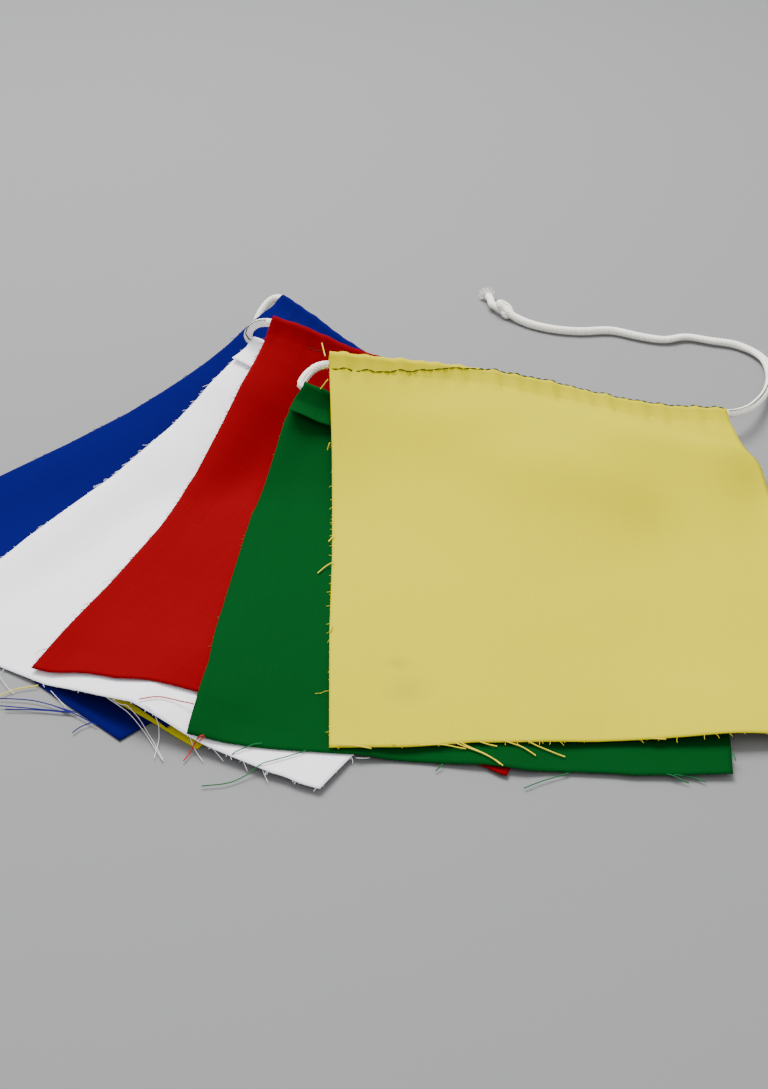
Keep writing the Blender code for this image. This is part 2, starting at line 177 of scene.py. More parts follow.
@dataclass(frozen=True)
class WovenCotton:
    """Thin dyed plain-weave cotton: matt, with slubs that run along both threads.

    The eye gets a flat even colour with a fine grid of threads, a few thicker ones, and a soft
    unevenness of the dye.  The threads are 0.45 mm apart; they are drawn 0.9 mm apart, because
    finer ones don't show.
    """

    name: str
    colour: str
    shade: str
    thread_gap: float = 0.0009
    slub_width: float = 0.0011
    slub_length: float = 0.045
    tone_size: float = 0.06
    tone_weight: float = 1.2
    mottle: tuple[float, float] = (1.1, 2.1)
    most_shade: float = 0.75
    slub_relief: float = 0.9
    relief: float = 0.35
    relief_depth: float = 0.00012
    roughness: float = 0.95
    specular: float = 0.03
    smudges: Table = ()
    smudge: str = "#6E6448"
    smudge_share: float = 0.5

    def slubs(self, tree: bpy.types.NodeTree, place: bpy.types.NodeSocket) -> bpy.types.NodeSocket:
        """Add the slubs along both threads.

        Args:
            tree: The material's node tree.
            place: The cloth's map.

        Returns:
            Their height.
        """
        fine = 1 / self.slub_width
        long = 1 / self.slub_length
        noises = []
        for scale in ((fine, long, 1), (long, fine, 1)):
            turned = add_node(tree, "Mapping", None, {"Vector": place, "Scale": scale})
            noises.append(add_node(tree, "TexNoise", None, {
                "Vector": turned.outputs[0], "Scale": 1.0, "Detail": 2.0, "Roughness": 0.6}))
        both = add_node(tree, "Math", {"operation": "ADD"}, {
            0: noises[0].outputs["Fac"], 1: noises[1].outputs["Fac"]})
        return both.outputs[0]

    def weave(self, tree: bpy.types.NodeTree, place: bpy.types.NodeSocket) -> bpy.types.NodeSocket:
        """Add the grid of warp and weft.

        Args:
            tree: The material's node tree.
            place: The cloth's map.

        Returns:
            Its height.
        """
        # A wave texture's bands lie a tenth of pi apart at a scale of one
        scale = math.pi / 10 / self.thread_gap
        warp = add_node(tree, "TexWave", {"bands_direction": "X"}, {"Vector": place, "Scale": scale})
        weft = add_node(tree, "TexWave", {"bands_direction": "Y"}, {"Vector": place, "Scale": scale})
        grid = add_node(tree, "Math", {"operation": "MULTIPLY"}, {
            0: warp.outputs["Fac"], 1: weft.outputs["Fac"]})
        return grid.outputs[0]

    def build(self) -> bpy.types.Material:
        """Make the cloth's material on its own map of metres across and down the cloth.

        Returns:
            The material.
        """
        material, tree, shader = new_material(self.name)
        place = add_node(tree, "UVMap", {"uv_map": Coords.CLOTH.value}).outputs["UV"]
        slubs = self.slubs(tree, place)
        tone = add_node(tree, "TexNoise", None, {
            "Vector": place, "Scale": 1 / self.tone_size, "Detail": 3.0})
        mottle = add_node(tree, "Math", {"operation": "MULTIPLY_ADD"}, {
            0: tone.outputs["Fac"], 1: self.tone_weight, 2: slubs})
        share = add_node(tree, "MapRange", None, {
            "Value": mottle.outputs[0], "From Min": self.mottle[0], "From Max": self.mottle[1],
            "To Max": self.most_shade})
        colour = add_node(tree, "Mix", {"data_type": "RGBA"}, {
            0: share.outputs[0], Mixed.FIRST: linear(self.colour), Mixed.SECOND: linear(self.shade)})
        dyed = colour.outputs[Mixed.RESULT]
        for across, down, size in self.smudges:
            spot = add_node(tree, "Mapping", None, {
                "Vector": place, "Scale": (1 / size, 1 / size, 1),
                "Location": (-across / size, -down / size, 0)})
            ball = add_node(tree, "TexGradient", {"gradient_type": "SPHERICAL"}, {
                "Vector": spot.outputs[0]})
            patchy = add_node(tree, "Math", {"operation": "MULTIPLY"}, {
                0: ball.outputs["Fac"], 1: tone.outputs["Fac"]})
            faint = add_node(tree, "Math", {"operation": "MULTIPLY"}, {
                0: patchy.outputs[0], 1: self.smudge_share})
            soiled = add_node(tree, "Mix", {"data_type": "RGBA"}, {
                0: faint.outputs[0], Mixed.FIRST: dyed, Mixed.SECOND: linear(self.smudge)})
            dyed = soiled.outputs[Mixed.RESULT]
        tree.links.new(dyed, shader.inputs["Base Color"])
        height = add_node(tree, "Math", {"operation": "MULTIPLY_ADD"}, {
            0: slubs, 1: self.slub_relief, 2: self.weave(tree, place)})
        bump = add_node(tree, "Bump", None, {
            "Height": height.outputs[0], "Strength": self.relief, "Distance": self.relief_depth})
        tree.links.new(bump.outputs[0], shader.inputs["Normal"])
        shader.inputs["Roughness"].default_value = self.roughness
        shader.inputs["Specular IOR Level"].default_value = self.specular
        return material


@dataclass(frozen=True)
class BraidedCotton:
    """Soft bleached cotton braid: the eye gets matt fuzzy strands, with painted shade that darkens the hollows between
    them.
    """

    name: str = "braided_cotton"
    colour: str = "#FFFCF0"
    # Painted shade: the colour painted into the hollows between the strands
    painted_hollow_shade: str = "#CFC9B8"
    yarn: float = 0.0004
    fuzz_share: float = 0.4
    # Relief range over which the painted shade gives way to the cord's own colour
    hollow_shade_range: tuple[float, float] = (0.25, 0.75)
    relief: float = 0.4
    relief_depth: float = 0.0002
    roughness: float = 0.92
    specular: float = 0.1

    def build(self) -> bpy.types.Material:
        """Make the cord's material on its own map and its relief attribute.

        Returns:
            The material.
        """
        material, tree, shader = new_material(self.name)
        place = add_node(tree, "UVMap", {"uv_map": Coords.CORD.value}).outputs["UV"]
        height = add_node(tree, "Attribute", {"attribute_name": "relief"}).outputs["Fac"]
        fuzz = add_node(tree, "TexNoise", None, {
            "Vector": place, "Scale": 1 / self.yarn, "Detail": 3.0, "Roughness": 0.7})
        # Painted shade: low relief between the strands, with some random fuzz, darkens the colour towards the hollow's
        # painted shade
        fuzz_and_painted_shade = add_node(tree, "Math", {"operation": "MULTIPLY_ADD"}, {
            0: fuzz.outputs["Fac"], 1: self.fuzz_share, 2: height})
        share = add_node(tree, "MapRange", None, {
            "Value": fuzz_and_painted_shade.outputs[0], "From Min": self.hollow_shade_range[0], "From Max": self.hollow_shade_range[1]})
        colour = add_node(tree, "Mix", {"data_type": "RGBA"}, {
            0: share.outputs[0], Mixed.FIRST: linear(self.painted_hollow_shade), Mixed.SECOND: linear(self.colour)})
        tree.links.new(colour.outputs[Mixed.RESULT], shader.inputs["Base Color"])
        bump = add_node(tree, "Bump", None, {
            "Height": fuzz.outputs["Fac"], "Strength": self.relief, "Distance": self.relief_depth})
        tree.links.new(bump.outputs[0], shader.inputs["Normal"])
        shader.inputs["Roughness"].default_value = self.roughness
        shader.inputs["Specular IOR Level"].default_value = self.specular
        return material


@dataclass(frozen=True)
class SpunThread:
    """Spun cotton or polyester thread: the eye gets one colour with a little twist in its tone."""

    name: str
    colour: str
    shade: str
    tones: float = 900.0
    roughness: float = 0.8
    specular: float = 0.2

    def build(self) -> bpy.types.Material:
        """Make the thread's material.

        Returns:
            The material.
        """
        material, tree, shader = new_material(self.name)
        place = add_node(tree, "TexCoord").outputs["Object"]
        twist = add_node(tree, "TexNoise", None, {"Vector": place, "Scale": self.tones, "Detail": 2.0})
        colour = add_node(tree, "Mix", {"data_type": "RGBA"}, {
            0: twist.outputs["Fac"], Mixed.FIRST: linear(self.colour), Mixed.SECOND: linear(self.shade)})
        tree.links.new(colour.outputs[Mixed.RESULT], shader.inputs["Base Color"])
        shader.inputs["Roughness"].default_value = self.roughness
        shader.inputs["Specular IOR Level"].default_value = self.specular
        return material


@dataclass(frozen=True)
class PaleFloor:
    """A plain pale matt floor, with a slight drift in its tone."""

    name: str = "pale_floor"
    colour: str = "#7A7A7A"
    shade: str = "#727272"
    drift: float = 3.0
    most_shade: float = 0.12
    roughness: float = 0.75

    def build(self) -> bpy.types.Material:
        """Make the floor's material.

        Returns:
            The material.
        """
        material, tree, shader = new_material(self.name)
        place = add_node(tree, "TexCoord").outputs["Object"]
        drift = add_node(tree, "TexNoise", None, {"Vector": place, "Scale": self.drift, "Detail": 2.0})
        tone = add_node(tree, "MapRange", None, {
            "Value": drift.outputs["Fac"], "To Min": 0.0, "To Max": self.most_shade})
        colour = add_node(tree, "Mix", {"data_type": "RGBA"}, {
            0: tone.outputs[0], Mixed.FIRST: linear(self.colour), Mixed.SECOND: linear(self.shade)})
        tree.links.new(colour.outputs[Mixed.RESULT], shader.inputs["Base Color"])
        shader.inputs["Roughness"].default_value = self.roughness
        return material


class Finishes:
    """The materials, each made once and found by name."""

    SPECS = (
        WovenCotton("blue", "#0F0757", "#0B054E"),
        WovenCotton("white", "#FBF9FD", "#F1EEF5"),
        WovenCotton("red", "#760009", "#6C0007"),
        WovenCotton("green", "#033F15", "#033A12"),
        WovenCotton("yellow", "#C8BC00", "#C0B400",
                    smudges=((0.030, 0.222, 0.012), (0.027, 0.205, 0.006))),
        BraidedCotton(),
        SpunThread("green_thread", "#0A3218", "#06200F"),
        SpunThread("navy_thread", "#14183A", "#0C0F24"),
        SpunThread("loose_blue", "#181478", "#100C60"),
        SpunThread("loose_white", "#F2F0F2", "#DAD6DC"),
        SpunThread("loose_red", "#C0282A", "#A01416"),
        SpunThread("loose_green", "#1C7040", "#0C5A2A"),
        SpunThread("loose_yellow", "#F0DC40", "#DCC420"),
        SpunThread("loose_cord", "#F2EFE6", "#D8D4C8"),
        PaleFloor(),
    )

    def __init__(self) -> None:
        """Make every material."""
        self.made = {spec.name: spec.build() for spec in self.SPECS}

    def __getitem__(self, name: str) -> bpy.types.Material:
        """Return the material of that name."""
        return self.made[name]


# Raster and curve helpers
def slide(values: np.ndarray, reach: float, combine: Callable) -> np.ndarray:
    """Combine each cell of a raster with its neighbours, across and then along.

    Args:
        values: The raster.
        reach: How far the neighbours reach, in metres.
        combine: A numpy reduction, such as np.max or np.mean.

    Returns:
        The new raster.
    """
    cells = round(reach / CELL)
    for axis in (0, 1):
        pad = [(0, 0), (0, 0)]
        pad[axis] = (cells, cells)
        wide = np.pad(values, pad, mode="edge")
        shifted = [np.take(wide, range(k, k + values.shape[axis]), axis) for k in range(2 * cells + 1)]
        values = combine(shifted, axis=0)
    return values


def sample(values: np.ndarray, x: np.ndarray, y: np.ndarray) -> np.ndarray:
    """Read a raster at plan positions, straight between its cells.

    Args:
        values: The raster.
        x: The positions' X.
        y: Their Y.

    Returns:
        The values there.
    """
    columns = np.clip((x + REACH_X) / CELL, 0, values.shape[1] - LAST_CELL)
    rows = np.clip((y + REACH_Y) / CELL, 0, values.shape[0] - LAST_CELL)
    i = np.asarray(columns).astype(int)
    j = np.asarray(rows).astype(int)
    a = columns - i
    b = rows - j
    near = values[j, i] * (1 - a) + values[j, i + 1] * a
    far = values[j + 1, i] * (1 - a) + values[j + 1, i + 1] * a
    return near * (1 - b) + far * b


def soft_max(one: np.ndarray, other: np.ndarray) -> np.ndarray:
    """Return the larger of two rasters, with their meeting line rounded over."""
    overlap = np.maximum(BLEND - np.abs(one - other), 0)
    return np.maximum(one, other) + overlap**2 / (4 * BLEND)


def smooth_step(x: np.ndarray) -> np.ndarray:
    """Ease from nought to one as x goes from nought to one."""
    x = np.clip(x, 0, 1)
    return x * x * (3 - 2 * x)


def unit(vectors: np.ndarray) -> np.ndarray:
    """Return vectors, along the last axis, at a length of one."""
    return vectors / np.linalg.norm(vectors, axis=-1, keepdims=True)


def smooth_curve(route: Sequence, step: float) -> np.ndarray:
    """Run a smooth curve through a route.

    Args:
        route: The points that the curve passes through.
        step: How far apart the curve's own points are.

    Returns:
        The curve's points.
    """
    route = np.array(route, dtype=float)
    wide = np.vstack((2 * route[0] - route[1], route, 2 * route[-1] - route[-2]))
    dense = []
    for before, start, end, after in zip(wide, wide[1:], wide[2:], wide[3:]):
        for a in np.linspace(0, 1, CURVE_SAMPLES, endpoint=False):
            bend = 2 * start + (end - before) * a
            bend += (2 * before - 5 * start + 4 * end - after) * a**2
            bend += (3 * start - before - 3 * end + after) * a**3
            dense.append(bend / 2)
    dense.append(route[-1])
    return even_steps(np.array(dense), step)


def run_length(points: np.ndarray) -> np.ndarray:
    """Return how far each point lies along a run of points."""
    return np.concatenate(([0], np.cumsum(np.linalg.norm(np.diff(points, axis=0), axis=1))))


def even_steps(points: np.ndarray, step: float) -> np.ndarray:
    """Place points about a step apart along a run of points.

    Args:
        points: The run.
        step: How far apart the new points are.

    Returns:
        The new points.
    """
    run = run_length(points)
    stations = np.linspace(0, run[-1], max(round(run[-1] / step), 1) + 1)
    return np.column_stack([np.interp(stations, run, points[:, axis]) for axis in range(3)])


def ease_kinks(points: np.ndarray, rounds: int) -> np.ndarray:
    """Round off a run of points, with its two ends left where they are.

    Args:
        points: The run.
        rounds: How often each point moves towards its neighbours.

    Returns:
        The rounded run.
    """
    points = points.copy()
    for _ in range(rounds):
        points[1:-1] = (points[:-2] + 2 * points[1:-1] + points[2:]) / 4
    return points


def blur(vectors: np.ndarray, rounds: int) -> np.ndarray:
    """Soften a run of vectors, its ends too.

    Args:
        vectors: The run.
        rounds: How often each vector moves towards its neighbours.

    Returns:
        The softened run.
    """
    for _ in range(rounds):
        wide = np.concatenate((vectors[:1], vectors, vectors[-1:]))
        vectors = (wide[:-2] + wide[1:-1] * 2 + wide[2:]) / 4
    return vectors


# Mesh helpers
def grid_mesh(name: str, points: np.ndarray, uvs: np.ndarray, coords: Coords) -> bpy.types.Mesh:
    """Make a mesh from a grid of points.

    Args:
        name: The mesh's name.
        points: Rows by columns by three.
        uvs: Rows by columns by two, the pattern's map.
        coords: The name of that map.

    Returns:
        The mesh, one sheet of quads.
    """
    rows, columns, _ = points.shape
    shape = bmesh.new()
    bmesh.ops.create_grid(shape, x_segments=columns - 1, y_segments=rows - 1, size=1)
    mesh = bpy.data.meshes.new(name)
    shape.to_mesh(mesh)
    shape.free()
    mesh.vertices.foreach_set("co", points.reshape(-1).astype(np.float32))
    corners = np.zeros(len(mesh.loops), dtype=np.int32)
    mesh.loops.foreach_get("vertex_index", corners)
    layer = mesh.uv_layers.new(name=coords.value)
    layer.data.foreach_set("uv", uvs.reshape(-1, 2)[corners].reshape(-1).astype(np.float32))
    mesh.update()
    mesh.shade_smooth()
    return mesh


def add_piece(name: str, data: bpy.types.ID, material: bpy.types.Material) -> bpy.types.Object:
    """Link a new piece of the object.

    Args:
        name: The piece's name.
        data: Its mesh or curve.
        material: Its material.

    Returns:
        The piece, riding on the body.
    """
    piece = bpy.data.objects.new(name, data)
    bpy.context.scene.collection.objects.link(piece)
    data.materials.append(material)
    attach(piece, BODY)
    LOG.info("made %s", name)
    return piece


def add_strands(name: str, strands: list[np.ndarray], radius: float, material: bpy.types.Material) -> bpy.types.Object:
    """Make a piece of many thin threads.

    Args:
        name: The piece's name.
        strands: Each thread's points.
        radius: The threads' radius.
        material: Their material.

    Returns:
        The piece.
    """
    curve = bpy.data.curves.new(name, "CURVE")
    curve.dimensions = "3D"
    curve.bevel_depth = radius
    curve.bevel_resolution = 0
    curve.use_fill_caps = True
    for strand in strands:
        line = curve.splines.new("POLY")
        line.points.add(len(strand) - 1)
        flat = np.ones((len(strand), 4), dtype=np.float32)
        flat[:, :3] = strand
        line.points.foreach_set("co", flat.reshape(-1))
    return add_piece(name, curve, material)


# Camera, light and floor
@dataclass(frozen=True)
class Viewpoint:
    """The photograph's camera: where it stands, how far it looks down, and its lens.

    The focal length, width and height are in points of the photograph; near and far are the
    shares of a ray between which it meets the pile.
    """

    place: tuple[float, float, float] = (0.0340, -0.6679, 0.4127)
    pitch: float = 32.028
    focal: float = 1700.0
    width: float = 768.0
    height: float = 1089.0
    sensor: float = 36.0
    near: float = 0.5
    far: float = 1.4
    tries: int = 1800

    def build(self) -> None:
        """Add the camera to the scene."""
        data = bpy.data.cameras.new("camera")
        data.sensor_width = self.sensor
        data.lens = self.sensor * self.focal / self.height
        camera = bpy.data.objects.new("camera", data)
        camera.location = self.place
        camera.rotation_euler = (math.radians(90 - self.pitch), 0, 0)
        bpy.context.scene.collection.objects.link(camera)
        bpy.context.scene.camera = camera

    def ray(self, across: float, down: float) -> np.ndarray:
        """Find the direction in which a point of the photograph lies.

        Args:
            across: The point's distance from the photograph's left edge.
            down: The point's distance from its top edge.

        Returns:
            The direction, one metre long along the camera's own axis.
        """
        lean = math.radians(self.pitch)
        side = (across - self.width / 2) / self.focal
        rise = (self.height / 2 - down) / self.focal
        ahead = np.array((0, math.cos(lean), -math.sin(lean)))
        upward = np.array((0, math.sin(lean), math.cos(lean)))
        return ahead + upward * rise + np.array((side, 0, 0))

    def land(self, top: np.ndarray, across: float, down: float, lift: float) -> np.ndarray:
        """Find where a point of the photograph lies on the pile.

        Args:
            top: The raster of the pile's top.
            across: The point's distance from the photograph's left edge.
            down: The point's distance from its top edge.
            lift: How far above the pile the result lies.

        Returns:
            The place.
        """
        way = self.ray(across, down)
        start = np.array(self.place)
        steps = np.linspace(self.near, self.far, self.tries)
        line = start + steps[:, None] * way
        under = line[:, 2] <= sample(top, line[:, 0], line[:, 1]) + lift
        hit = line[np.argmax(under)]
        return np.array((hit[0], hit[1], sample(top, hit[0], hit[1]) + lift))


@dataclass(frozen=True)
class Studio:
    """A plain floor under soft light from above.

    Each light is its place, its size and its power.
    """

    floor_size: float = 7.0
    floor_drop: float = 0.0004
    key: tuple = ((-0.25, 0.8, 1.5), 1.1, 62)
    fill: tuple = ((0.5, -1.6, 1.6), 1.6, 14)
    sky: str = "#F4F6FA"
    sky_strength: float = 0.85

    def build(self, finishes: Finishes) -> None:
        """Add the floor, the lights and the sky.

        Args:
            finishes: The materials.
        """
        shape = bmesh.new()
        bmesh.ops.create_grid(shape, x_segments=1, y_segments=1, size=self.floor_size)
        bmesh.ops.translate(shape, verts=shape.verts[:], vec=(0, 0, -self.floor_drop))
        mesh = bpy.data.meshes.new("floor")
        shape.to_mesh(mesh)
        shape.free()
        floor = bpy.data.objects.new("floor", mesh)
        bpy.context.scene.collection.objects.link(floor)
        mesh.materials.append(finishes["pale_floor"])
        self.lamp("key", *self.key)
        self.lamp("fill", *self.fill)
        world = bpy.data.worlds.new("sky")
        world.use_nodes = True
        sky = world.node_tree.nodes["Background"]
        sky.inputs["Color"].default_value = linear(self.sky)
        sky.inputs["Strength"].default_value = self.sky_strength
        bpy.context.scene.world = world

    @staticmethod
    def lamp(name: str, place: tuple[float, ...], size: float, power: float) -> None:
        """Add one large square lamp that faces the middle of the floor.

        Args:
            name: The lamp's name.
            place: Where it is.
            size: The length of its sides.
            power: Its power in watts.
        """
        data = bpy.data.lights.new(name, "AREA")
        data.size = size
        data.energy = power
        lamp = bpy.data.objects.new(name, data)
        lamp.location = place
        x, y, z = place
        lamp.rotation_euler = (math.atan2(math.hypot(x, y), z), 0, math.atan2(x, -y))
        bpy.context.scene.collection.objects.link(lamp)


# The flags
@dataclass(frozen=True)
class FlagCut:
    """How one flag is cut, placed and held.

    The left hem end is placed in the plan, and the hem turned from there, in degrees.  Heights
    are (along the hem, height), and left heights (down the left edge, height), which count for
    left_reach along the hem; behind the hem they fall away by the power, over the fall.  Edges
    are (down the cloth, shift to the right); the foot is (along, lift), and longer is (along,
    extra length); folds are (along, down, along, down, height, half width) from end to end; the
    stitch line is (along, down the cloth).  Spread and soften say how stiffly the cloth bridges
    what lies below.  Lengths are in metres.
    """

    node: str
    colour: str
    left: tuple[float, float]
    turn: float
    flap: Flap
    heights: Table = ()
    left_heights: Table = ()
    left_reach: float = 0.07
    fall: float = 0.15
    power: float = 2.0
    drop: float = FLAG_DROP
    step: float = 0.004
    left_edge: Table = ((0, 0),)
    right_edge: Table = ((0, 0),)
    foot: Table = ()
    longer: Table = ((0, 0),)
    folds: Table = ()
    curl: float = 0.0
    stitch_line: Table = ((0, 0.0068),)
    pucker: float = 0.0003
    wave: float = 0.00007
    spread: float = SPREAD
    soften: float = SOFTEN


CUTS = (
    FlagCut("flag_01_blue", "blue", (-0.039, 0.174), -43.6, Flap.OVER),
    FlagCut("flag_02_white", "white", (-0.0115, 0.158), -12.0, Flap.UNDER,
            heights=((0, 0.010), (0.1, 0.004), (0.2, 0.004)), fall=0.10),
    FlagCut("flag_03_red", "red", (-0.020, 0.164), -17.0, Flap.OVER),
    FlagCut("flag_04_green", "green", (-0.028, 0.170), -24.0, Flap.UNDER),
    FlagCut("flag_05_yellow", "yellow", (-0.0335, 0.1702), -39.2, Flap.OVER,
            heights=((0, 0.028), (0.1, 0.012), (0.2, 0.006))),
    FlagCut("flag_06_blue", "blue", (-0.022, 0.180), -43.6, Flap.UNDER,
            heights=((0, 0.0405), (0.027, 0.0346), (0.041, 0.0303), (0.057, 0.0273), (0.1, 0.019),
                     (0.2, 0.009)),
            left_heights=((0, 0.0405), (0.023, 0.0337), (0.040, 0.0265), (0.055, 0.0220),
                          (0.071, 0.0184), (0.087, 0.0155), (0.108, 0.0123), (0.146, 0.0095),
                          (0.187, 0.0080), (0.254, 0)),
            fall=0.17, step=0.002),
    FlagCut("flag_07_white", "white", (-0.035, 0.138), -30.8, Flap.OVER,
            heights=((0, 0.0345), (0.1, 0.022), (0.2, 0.012)),
            left_heights=((0, 0.0345), (0.021, 0.0305), (0.038, 0.0270), (0.052, 0.0225),
                          (0.071, 0.0180), (0.099, 0.0150), (0.117, 0.0125), (0.180, 0.0110),
                          (0.230, 0.0050), (0.254, 0)),
            left_reach=0.05, fall=0.13, power=1.2, step=0.002,
            longer=((0, 0), (0.18, 0), (0.2, -0.004)),
            foot=((0, 0.003), (0.047, 0.0), (0.07, 0.0005), (0.09, 0.005), (0.115, 0.0095),
                  (0.15, 0.003), (0.2, 0.002)),
            curl=0.002),
    FlagCut("flag_08_red", "red", (-0.024, 0.132), -20.0, Flap.UNDER,
            heights=((0, 0.0492), (0.015, 0.0466), (0.024, 0.044), (0.041, 0.0388), (0.1, 0.029),
                     (0.2, 0.012)),
            left_heights=((0, 0.0492), (0.013, 0.0415), (0.025, 0.0370), (0.042, 0.0324),
                          (0.056, 0.0266), (0.071, 0.0210), (0.084, 0.0166), (0.098, 0.0118),
                          (0.116, 0.0084), (0.135, 0.007), (0.254, 0.003)),
            left_reach=0.04, fall=0.13, power=1.8, step=0.002,
            longer=((0, 0.006), (0.04, 0.007), (0.06, 0.004), (0.08, 0), (0.15, 0), (0.2, -0.0045)),
            left_edge=((0, 0), (0.11, 0.001), (0.14, 0.003), (0.19, 0.003), (0.23, 0.001), (0.254, 0)),
            foot=((0, 0), (0.15, 0), (0.2, 0.001))),
    FlagCut("flag_09_green", "green", (-0.007, 0.084), -6.9, Flap.OVER,
            heights=((0, 0.0355), (0.006, 0.0335), (0.014, 0.030), (0.03, 0.0275), (0.1, 0.025),
                     (0.2, 0.014)),
            fall=0.12, power=1.5, drop=GREEN_DROP, step=0.002,
            left_edge=((0, 0), (0.006, -0.003), (0.02, -0.0065), (0.034, -0.008), (0.062, -0.011),
                       (0.077, -0.0121), (0.118, -0.0112), (0.144, -0.0104), (0.171, -0.0092),
                       (0.197, -0.0068), (0.238, -0.0068)),
            longer=((0, 0.007), (0.09, 0.0018), (0.11, 0.002), (0.125, 0.0048), (0.14, 0.004),
                    (0.16, 0.0012), (0.2, -0.005)),
            foot=((0, 0.0), (0.1, 0.0), (0.2, 0.002)), curl=0.006),
    FlagCut("flag_10_yellow", "yellow", (0.006, 0.095), 1.4, Flap.UNDER,
            heights=((0, 0.0472), (0.024, 0.0438), (0.052, 0.0404), (0.081, 0.0358),
                     (0.104, 0.0306), (0.124, 0.0248), (0.146, 0.0192), (0.168, 0.0150),
                     (0.2, 0.0130)),
            fall=0.14, power=1.5, step=0.002,
            left_edge=((0, 0), (0.05, 0.001), (0.12, 0.001), (0.18, 0), (0.254, 0)),
            right_edge=((0, 0), (0.02, 0.003), (0.045, 0.009), (0.08, 0.010), (0.254, 0.004)),
            foot=((0, 0.0), (0.06, 0.0), (0.1, 0.001), (0.15, 0.004), (0.2, 0.006)),
            longer=((0, 0.007), (0.03, 0.004), (0.055, 0), (0.2, 0)),
            folds=((0.105, 0.004, 0.16, 0.020, 0.0014, 0.006), (0.16, 0.020, 0.21, 0.046, 0.0016, 0.007)),
            stitch_line=((0, 0.0072), (0.02, 0.0062), (0.04, 0.0036), (0.058, 0.0004), (0.075, -0.0018),
                         (0.1, -0.0027), (0.2, -0.0028)),
            pucker=0.0008, spread=0.010, soften=0.010),
)


@dataclass(frozen=True)
class LoopShape:
    """How a loop of cord runs between the two hems that it joins.

    It swings out of the lower and of the upper hem, sags between them, and may leave the upper
    hem's end lower than the hem.
    """

    swing_low: float
    swing_high: float
    sag: float = 0.0
    dip: float = 0.0


LOOPS = (
    LoopShape(0.028, 0.008),
    LoopShape(0.030, 0.030, 0.006),
    LoopShape(0.012, 0.012),
    LoopShape(0.012, 0.030, 0.012),
    LoopShape(0.004, 0.009),
    LoopShape(0.016, 0.018, 0.014),
    LoopShape(0.004, 0.012, 0.0, 0.001),
    LoopShape(0.045, 0.018, 0.012),
    LoopShape(0.0, 0.009, 0.0, 0.0045),
)
LOOP_POINTS = 8
# Shares of a loop between which it may rest on what lies below it
LOOP_RESTS = (0.35, 0.8)
# How far along the hem a lowered cord comes back to the hem's own line
DIP_REACH = 0.012


